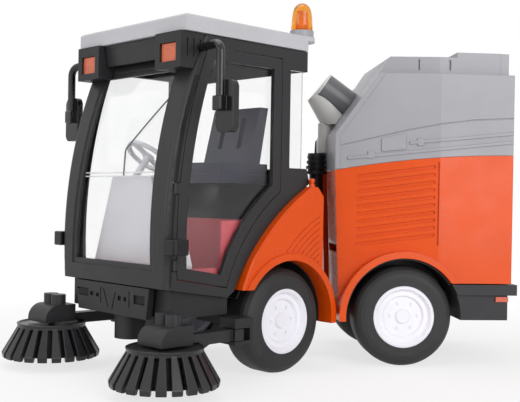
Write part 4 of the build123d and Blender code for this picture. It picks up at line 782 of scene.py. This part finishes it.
class SWEEPER_OT_brow(Step, bpy.types.Operator):
    """Dark panel that closes the roof's overhang between the two lamps"""

    bl_idname = "sweeper.brow"
    bl_label = "Brow panel"

    # width of a roof lamp, with the gap beside it
    LAMP_SHARE = 19.2 * MM
    ROOF_GAP = 0.15 * MM
    # set-back from the front face of the foot's front and rear corner, in millimetres
    FOOT = (1.6, 3.6)
    # set-back from the front face and drop under the upper edge of the other corners, in millimetres
    UPPER = ((0.4, 2.4), (0.0, 2.0), (0.0, 0.0), (6.0, 0.0))

    def dress(self, scene, tones):
        sizes = scene.sweeper_forms
        paint = moulded("brow_black", tones.cab_black, 0.38, wear=0.1, radius=0.4 * MM)
        lamp_low, lamp_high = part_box("roof_lamps")
        roof_low, _roof_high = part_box("roof")
        reach = (lamp_high.y - lamp_low.y) / 2 - self.LAMP_SHARE
        low, high, front = sizes.brow_low, roof_low.z - self.ROOF_GAP, sizes.brow_front
        ahead, behind = ((front - back * MM, low) for back in self.FOOT)
        outline = [ahead, *((front - back * MM, high - drop * MM) for back, drop in self.UPPER), behind]
        mesh = bmesh.new()
        slab(mesh, outline, lambda u, v, w: cab_point(u, w, v), -reach, reach, 0.25 * MM)
        new_piece("brow_panel", mesh, paint, "front", smooth=False)


class SWEEPER_OT_corner_shade(Step, bpy.types.Operator):
    """Dark glossy strips of painted shade that run up both corners of the cab beside the doors, where the
    rebate between the cab's front and side lies in shade
    """

    bl_idname = "sweeper.seams"
    bl_label = "Corner shade strips"

    # forward place and height of points on the cab's bowed front edge, and the shade strip's width as a share
    EDGE = (
        (90.0, 57.5, 0.35), (89.9, 70.0, 0.4), (89.45, 90.0, 0.5), (88.4, 110.0, 0.6), (86.4, 128.0, 0.75),
        (83.6, 145.0, 0.9), (79.6, 160.0, 1.0), (74.4, 174.0, 1.0),
    )
    # distance behind that edge, depth under the frame's side and height over it
    SET_BACK = 2.9 * MM
    SUNK = 0.3 * MM
    PROUD = 0.08 * MM

    def dress(self, scene, tones):
        sizes = scene.sweeper_forms
        # painted shade: the strips' near-black stands for the shade in the rebate at each corner of the cab
        paint = moulded("corner_painted_shade", shade(tones.mirror_black, 0.5), 0.2, wear=0.0, grain=0.0)
        low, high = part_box("cab_frame")
        skin = (high.y - low.y) / 2
        ahead = [(x * MM - self.SET_BACK, z * MM) for x, z, _share in self.EDGE]
        back = [(x * MM - self.SET_BACK - sizes.shade_strip_width * share, z * MM) for x, z, share in self.EDGE]
        mesh = bmesh.new()
        for side in BOTH:
            slab(mesh, ahead + back[::-1], side_place(side), skin - self.SUNK, skin + self.PROUD)
        new_piece("corner_shade_strips", mesh, paint, "front", smooth=False)


class SWEEPER_OT_markers(Step, bpy.types.Operator):
    """Marker lamps with rounded outer ends that wrap round the cab's corners"""

    bl_idname = "sweeper.markers"
    bl_label = "Marker lamps"

    # forward and side place of each corner of a lamp's plan, in millimetres
    PLAN = (
        (92.4, 51.8), (92.4, 59.0), (90.6, 61.2), (82.6, 61.2), (80.6, 59.8), (80.6, 57.2), (84.8, 55.6),
        (84.8, 51.8),
    )
    SOFT = 0.7 * MM

    def dress(self, scene, tones):
        low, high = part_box("marker_lamps")
        mesh = bmesh.new()
        for side in BOTH:
            slab(mesh, in_metres(self.PLAN), plan_place(side), low.z, high.z, self.SOFT, 3)
        paint = moulded("marker_black", tones.mirror_black, 0.3, wear=0.1, grain=0.05)
        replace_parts(new_piece("marker_shells", mesh, paint, "front", smooth=False),
                    "marker_lamps")


class SWEEPER_OT_mirrors(Step, bpy.types.Operator):
    """Glossy mirrors with rounded heads on bent tubes"""

    bl_idname = "sweeper.mirrors"
    bl_label = "Mirrors"

    # forward place, side and height of the tube's start, corner and end, in millimetres
    TUBE = ((67.4, 51.8, 189.5), (72.4, 73.8, 189.5), (72.4, 73.8, 153.5))
    TUBE_BEND = 6.0 * MM
    TUBE_R = 2.4 * MM
    # side and height of the head's corners, from the upper outer one round, then of the bracket's
    HEAD = ((82.8, 169.5), (68.8, 169.5), (68.8, 141.5), (82.8, 141.5))
    BRACKET = ((70.3, 153.0), (77.3, 153.0), (77.3, 161.0), (70.3, 161.0))
    # rear face, front face and rounding of each
    HEAD_DEPTH = (66.9 * MM, 70.9 * MM, 1.2 * MM)
    BRACKET_DEPTH = (69.4 * MM, 75.4 * MM, 0.9 * MM)

    def rounded(self, corners, radius, steps=6):
        """The outline of a rectangle with rounded corners, from its four corners."""
        outline = []
        for quarter, (u, v) in enumerate(in_metres(corners)):
            mid_u = u + (radius if quarter in (1, 2) else -radius)
            mid_v = v + (radius if quarter in (2, 3) else -radius)
            for k in range(steps + 1):
                turn = radians(90.0 * (quarter + k / steps))
                outline.append((mid_u + radius * cos(turn), mid_v + radius * sin(turn)))
        return outline

    def bend(self, start, corner, end, radius, steps=8):
        """Points along two straight lines that meet in a round bend."""
        back, on = (start - corner).normalized(), (end - corner).normalized()
        half = back.angle(on) / 2
        reach = radius / tan(half)
        middle = corner + (back + on).normalized() * (radius / sin(half))
        first = (corner + back * reach - middle).normalized()
        last = (corner + on * reach - middle).normalized()
        return [start] + [middle + first.slerp(last, k / steps) * radius for k in range(steps + 1)] + [end]

    def tube(self, mesh, points, radius, segments=20):
        """A closed round tube along points."""
        rings, across = [], Vector((1.0, 0.0, 0.0))
        for k, point in enumerate(points):
            along = (points[min(k + 1, len(points) - 1)] - points[max(k - 1, 0)]).normalized()
            across = (across - along * across.dot(along)).normalized()
            other = along.cross(across)
            turns = [2.0 * pi * j / segments for j in range(segments)]
            rings.append([mesh.verts.new(point + (across * cos(t) + other * sin(t)) * radius) for t in turns])
        for lower, upper in zip(rings, rings[1:]):
            for j in range(segments):
                nxt = (j + 1) % segments
                mesh.faces.new((lower[j], lower[nxt], upper[nxt], upper[j]))
        mesh.faces.new(rings[0])
        mesh.faces.new(list(reversed(rings[-1])))

    def dress(self, scene, tones):
        rounding = scene.sweeper_forms.mirror_corner
        paint = moulded("mirror_black", tones.mirror_black, 0.16, wear=0.1, grain=0.03, gloss=0.5)
        for hand, side in (("left", 1.0), ("right", -1.0)):
            mesh = bmesh.new()
            start, corner, end = (cab_point(x * MM, side * y * MM, z * MM) for x, y, z in self.TUBE)
            self.tube(mesh, self.bend(start, corner, end, self.TUBE_BEND), self.TUBE_R)
            slab(mesh, self.rounded(self.HEAD, rounding), front_place(side), *self.HEAD_DEPTH, 3)
            slab(mesh, in_metres(self.BRACKET), front_place(side), *self.BRACKET_DEPTH, 3)
            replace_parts(new_piece("mirror_head_" + hand, mesh, paint, "front", smooth=False),
                        "mirror_" + hand)


class SWEEPER_OT_shade_insets(Step, bpy.types.Operator):
    """Painted shade: near-black floors in the cut-outs of the front plate, standing for the shade deep in
    each cut-out
    """

    bl_idname = "sweeper.insets"
    bl_label = "Plate shade insets"

    # middle side, middle height, width and height of each cut-out, in millimetres
    CUTS = (
        (-29.7, 48.4, 12.2, 4.8), (-20.1, 48.0, 3.6, 2.4), (-13.9, 47.7, 3.0, 2.2), (-10.5, 48.0, 0.9, 9.4),
        (8.4, 47.7, 3.3, 2.6), (14.0, 47.6, 2.8, 2.4), (18.0, 47.8, 0.9, 9.0), (27.5, 48.3, 10.5, 5.0),
    )
    CORNERS = ((-1, -1), (1, -1), (1, 1), (-1, 1))
    # gap round each floor in millimetres, and the depths of its rear and front face under the plate's front
    GAP = 0.15
    REAR_DEPTH = 1.35 * MM
    FRONT_DEPTH = 0.9 * MM

    def dress(self, scene, tones):
        _low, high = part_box("front_plate")
        front = high.x - cab_origin().x
        mesh = bmesh.new()
        for side, height, wide, tall in self.CUTS:
            half_w, half_h = wide / 2 - self.GAP, tall / 2 - self.GAP
            outline = in_metres((side + a * half_w, height + b * half_h) for a, b in self.CORNERS)
            slab(mesh, outline, front_place(1.0), front - self.REAR_DEPTH, front - self.FRONT_DEPTH)
        # painted shade: these near-black matte floors stand for the shade at the bottom of each cut-out
        paint = moulded("inset_painted_shade", shade(tones.mirror_black, 0.4), 0.6, wear=0.0, grain=0.02)
        new_piece("plate_shade_insets", mesh, paint, "front", smooth=False)


class SWEEPER_OT_body_trim(Step, bpy.types.Operator):
    """Small knobs on the fenders and the rear end of the hopper's raised block"""

    bl_idname = "sweeper.body_trim"
    bl_label = "Body trim"

    # radius and height of each corner of a knob, in millimetres, and its place
    KNOB = (
        (0.0, 112.0), (1.9, 112.0), (1.9, 115.5), (1.3, 116.2), (1.9, 117.0), (1.9, 118.4), (1.2, 119.1),
        (0.0, 119.1),
    )
    KNOB_X = -21.6 * MM
    KNOB_Y = 53.9 * MM
    KNOB_SIDES = 20
    # rear and front end, foot, half width and rounding of the block's tail, and its gap under the crown
    TAIL_X = (-138.6 * MM, -132.5 * MM)
    TAIL_Z = 187.6 * MM
    TAIL_HALF_W = 46.8 * MM
    TAIL_SOFT = 0.3 * MM
    TAIL_GAP = 0.05 * MM

    def dress(self, scene, tones):
        knobs = bmesh.new()
        for side in BOTH:
            foot = cab_point(self.KNOB_X, side * self.KNOB_Y, 0.0)
            lathe(knobs, in_metres(self.KNOB), foot, self.KNOB_SIDES)
        paint = moulded("knob_orange", tones.body_orange, 0.27, wear=0.2, grain=0.05)
        new_piece("fender_knobs", knobs, paint, "front", smooth=False)
        _low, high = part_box("hopper_cover")
        tail = bmesh.new()
        rear, front = self.TAIL_X
        top = high.z - self.TAIL_GAP
        outline = [(rear, self.TAIL_Z), (front, self.TAIL_Z), (front, top), (rear, top)]
        slab(tail, outline, lambda u, v, w: hopper_point(u, w, v), -self.TAIL_HALF_W, self.TAIL_HALF_W,
             self.TAIL_SOFT)
        paint = moulded("tail_grey", tones.shell_grey, 0.34, wear=0.2, grain=0.06, drift=0.05)
        new_piece("crown_tail", tail, paint, "hopper", smooth=False)


class SWEEPER_OT_stage(bpy.types.Operator):
    """Pale floor, surrounding white, soft boxes and the camera"""

    bl_idname = "sweeper.stage"
    bl_label = "Stage"

    # name, azimuth and height of the box from the object, distance, width, height, power
    BOXES = (
        ("key", 15.0, 18.0, 1.15, 0.56, 0.95, 7.0),
        ("front_fill", 92.0, 14.0, 1.30, 0.60, 0.80, 4.4),
        ("top", 135.0, 78.0, 1.10, 0.90, 0.90, 4.4),
    )
    # the floor's glow: the distances from the object between which it grows, and its share at each
    GLOW = (0.14, 0.40, 0.72, 1.0)
    SENSOR_WIDTH = 36.0

    def seen_directly(self, tree):
        """One for rays that see the surrounding itself, in glass and in gloss too."""
        path = tree.nodes.new("ShaderNodeLightPath")
        total = path.outputs["Is Camera Ray"]
        for output in ("Is Glossy Ray", "Is Transmission Ray"):
            larger = tree.nodes.new("ShaderNodeMath")
            larger.operation = "MAXIMUM"
            tree.links.new(total, larger.inputs[0])
            tree.links.new(path.outputs[output], larger.inputs[1])
            total = larger.outputs[0]
        return total

    def surround(self, scene):
        """White where it is seen, and a soft fill for everything else."""
        world = bpy.data.worlds.new("studio")
        world.use_nodes = True
        tree = world.node_tree
        tree.nodes.clear()
        out = tree.nodes.new("ShaderNodeOutputWorld")
        white = tree.nodes.new("ShaderNodeBackground")
        fill = tree.nodes.new("ShaderNodeBackground")
        white.inputs["Color"].default_value = (*WHITE, 1.0)
        fill.inputs["Color"].default_value = (*WHITE, 1.0)
        fill.inputs["Strength"].default_value = scene.sweeper_stage.fill
        mix = tree.nodes.new("ShaderNodeMixShader")
        tree.links.new(self.seen_directly(tree), mix.inputs[0])
        tree.links.new(fill.outputs[0], mix.inputs[1])
        tree.links.new(white.outputs[0], mix.inputs[2])
        tree.links.new(mix.outputs[0], out.inputs[0])
        scene.world = world

    def floor(self, settings):
        """A floor that keeps a soft shadow near the object and fades into the white around."""
        mesh = bmesh.new()
        bmesh.ops.create_grid(mesh, x_segments=2, y_segments=2, size=settings.floor_size)
        data = bpy.data.meshes.new("floor")
        mesh.to_mesh(data)
        mesh.free()
        plane = placed("floor", data)
        material = bpy.data.materials.new("floor_white")
        material.use_nodes = True
        tree = material.node_tree
        tree.nodes.clear()
        out = tree.nodes.new("ShaderNodeOutputMaterial")
        lit = tree.nodes.new("ShaderNodeBsdfDiffuse")
        lit.inputs["Color"].default_value = (*settings.floor_tone, 1.0)
        glow = tree.nodes.new("ShaderNodeEmission")
        glow.inputs["Color"].default_value = (*WHITE, 1.0)
        place = tree.nodes.new("ShaderNodeTexCoord")
        reach = tree.nodes.new("ShaderNodeVectorMath")
        reach.operation = "LENGTH"
        tree.links.new(place.outputs["Object"], reach.inputs[0])
        fade = tree.nodes.new("ShaderNodeMapRange")
        set_range(fade, *self.GLOW)
        tree.links.new(reach.outputs["Value"], fade.inputs["Value"])
        seen = tree.nodes.new("ShaderNodeMath")
        seen.operation = "MULTIPLY"
        tree.links.new(self.seen_directly(tree), seen.inputs[0])
        tree.links.new(fade.outputs["Result"], seen.inputs[1])
        mix = tree.nodes.new("ShaderNodeMixShader")
        tree.links.new(seen.outputs[0], mix.inputs[0])
        tree.links.new(lit.outputs[0], mix.inputs[1])
        tree.links.new(glow.outputs[0], mix.inputs[2])
        tree.links.new(mix.outputs[0], out.inputs[0])
        data.materials.append(material)

    def box(self, name, azimuth, rise, distance, width, height, power):
        """A soft box that looks at the middle of the object."""
        lamp = bpy.data.lights.new(name, "AREA")
        lamp.shape = "RECTANGLE"
        lamp.size, lamp.size_y, lamp.energy = width, height, power
        holder = placed(name, lamp)
        turn, lift = radians(azimuth), radians(rise)
        back = Vector((sin(turn) * cos(lift), cos(turn) * cos(lift), sin(lift)))
        holder.location = Vector((0.0, 0.0, LOOK_AT_Z)) + back * distance
        holder.rotation_euler = back.to_track_quat("Z", "Y").to_euler()

    def camera(self, settings):
        """The camera fitted to the photograph: a level view of the near front corner, turned a little."""
        level = cos(settings.pitch)
        ahead = Vector((cos(settings.yaw) * level, sin(settings.yaw) * level, sin(settings.pitch)))
        right = Vector((sin(settings.yaw), -cos(settings.yaw), 0.0))
        down = ahead.cross(right)
        turned_right = right * cos(settings.roll) + down * sin(settings.roll)
        turned_down = down * cos(settings.roll) - right * sin(settings.roll)
        data = bpy.data.cameras.new("camera")
        data.lens = settings.lens
        data.sensor_width = self.SENSOR_WIDTH
        eye = placed("camera", data)
        axes = Matrix((turned_right, -turned_down, -ahead)).transposed()
        eye.matrix_world = Matrix.Translation(Vector(settings.eye)) @ axes.to_4x4()
        bpy.context.scene.camera = eye

    def execute(self, context):
        scene = context.scene
        settings = scene.sweeper_stage
        scene.view_settings.view_transform = "Standard"
        self.surround(scene)
        self.floor(settings)
        for row in self.BOXES:
            self.box(*row)
        self.camera(settings)
        return {"FINISHED"}


STEPS = (
    SWEEPER_OT_tyres,
    SWEEPER_OT_rims,
    SWEEPER_OT_axles,
    SWEEPER_OT_cab_frame,
    SWEEPER_OT_panes,
    SWEEPER_OT_wiper,
    SWEEPER_OT_chassis,
    SWEEPER_OT_roof,
    SWEEPER_OT_body,
    SWEEPER_OT_lamps,
    SWEEPER_OT_cab_inside,
    SWEEPER_OT_brushes,
    SWEEPER_OT_liners,
    SWEEPER_OT_brow,
    SWEEPER_OT_corner_shade,
    SWEEPER_OT_markers,
    SWEEPER_OT_mirrors,
    SWEEPER_OT_shade_insets,
    SWEEPER_OT_body_trim,
    SWEEPER_OT_stage,
)


class SWEEPER_PT_panel(bpy.types.Panel):
    """The steps and settings, in the 3D view's sidebar"""

    bl_idname = "SWEEPER_PT_panel"
    bl_label = "Street Sweeper"
    bl_space_type = "VIEW_3D"
    bl_region_type = "UI"
    bl_category = "Sweeper"

    def draw(self, context):
        layout = self.layout
        for step in STEPS:
            layout.operator(step.bl_idname)
        scene = context.scene
        for group in (scene.sweeper_colours, scene.sweeper_trim, scene.sweeper_forms, scene.sweeper_stage):
            column = layout.column(align=True)
            for field in group.bl_rna.properties:
                if field.identifier not in ("rna_type", "name"):
                    column.prop(group, field.identifier)


CLASSES = (SweeperColours, SweeperTrim, SweeperForms, SweeperStage, *STEPS, SWEEPER_PT_panel)


def register():
    """Registers the classes and hangs the settings on the scene."""
    for cls in CLASSES:
        bpy.utils.register_class(cls)
    bpy.types.Scene.sweeper_colours = bpy.props.PointerProperty(type=SweeperColours)
    bpy.types.Scene.sweeper_trim = bpy.props.PointerProperty(type=SweeperTrim)
    bpy.types.Scene.sweeper_forms = bpy.props.PointerProperty(type=SweeperForms)
    bpy.types.Scene.sweeper_stage = bpy.props.PointerProperty(type=SweeperStage)


def unregister():
    """Takes everything off again."""
    for holder in ("sweeper_colours", "sweeper_trim", "sweeper_forms", "sweeper_stage"):
        delattr(bpy.types.Scene, holder)
    for cls in reversed(CLASSES):
        bpy.utils.unregister_class(cls)


def main():
    """Runs every step in order."""
    register()
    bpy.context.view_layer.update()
    for step in STEPS:
        group, name = step.bl_idname.split(".")
        getattr(getattr(bpy.ops, group), name)()


if __name__ == "__main__":
    main()
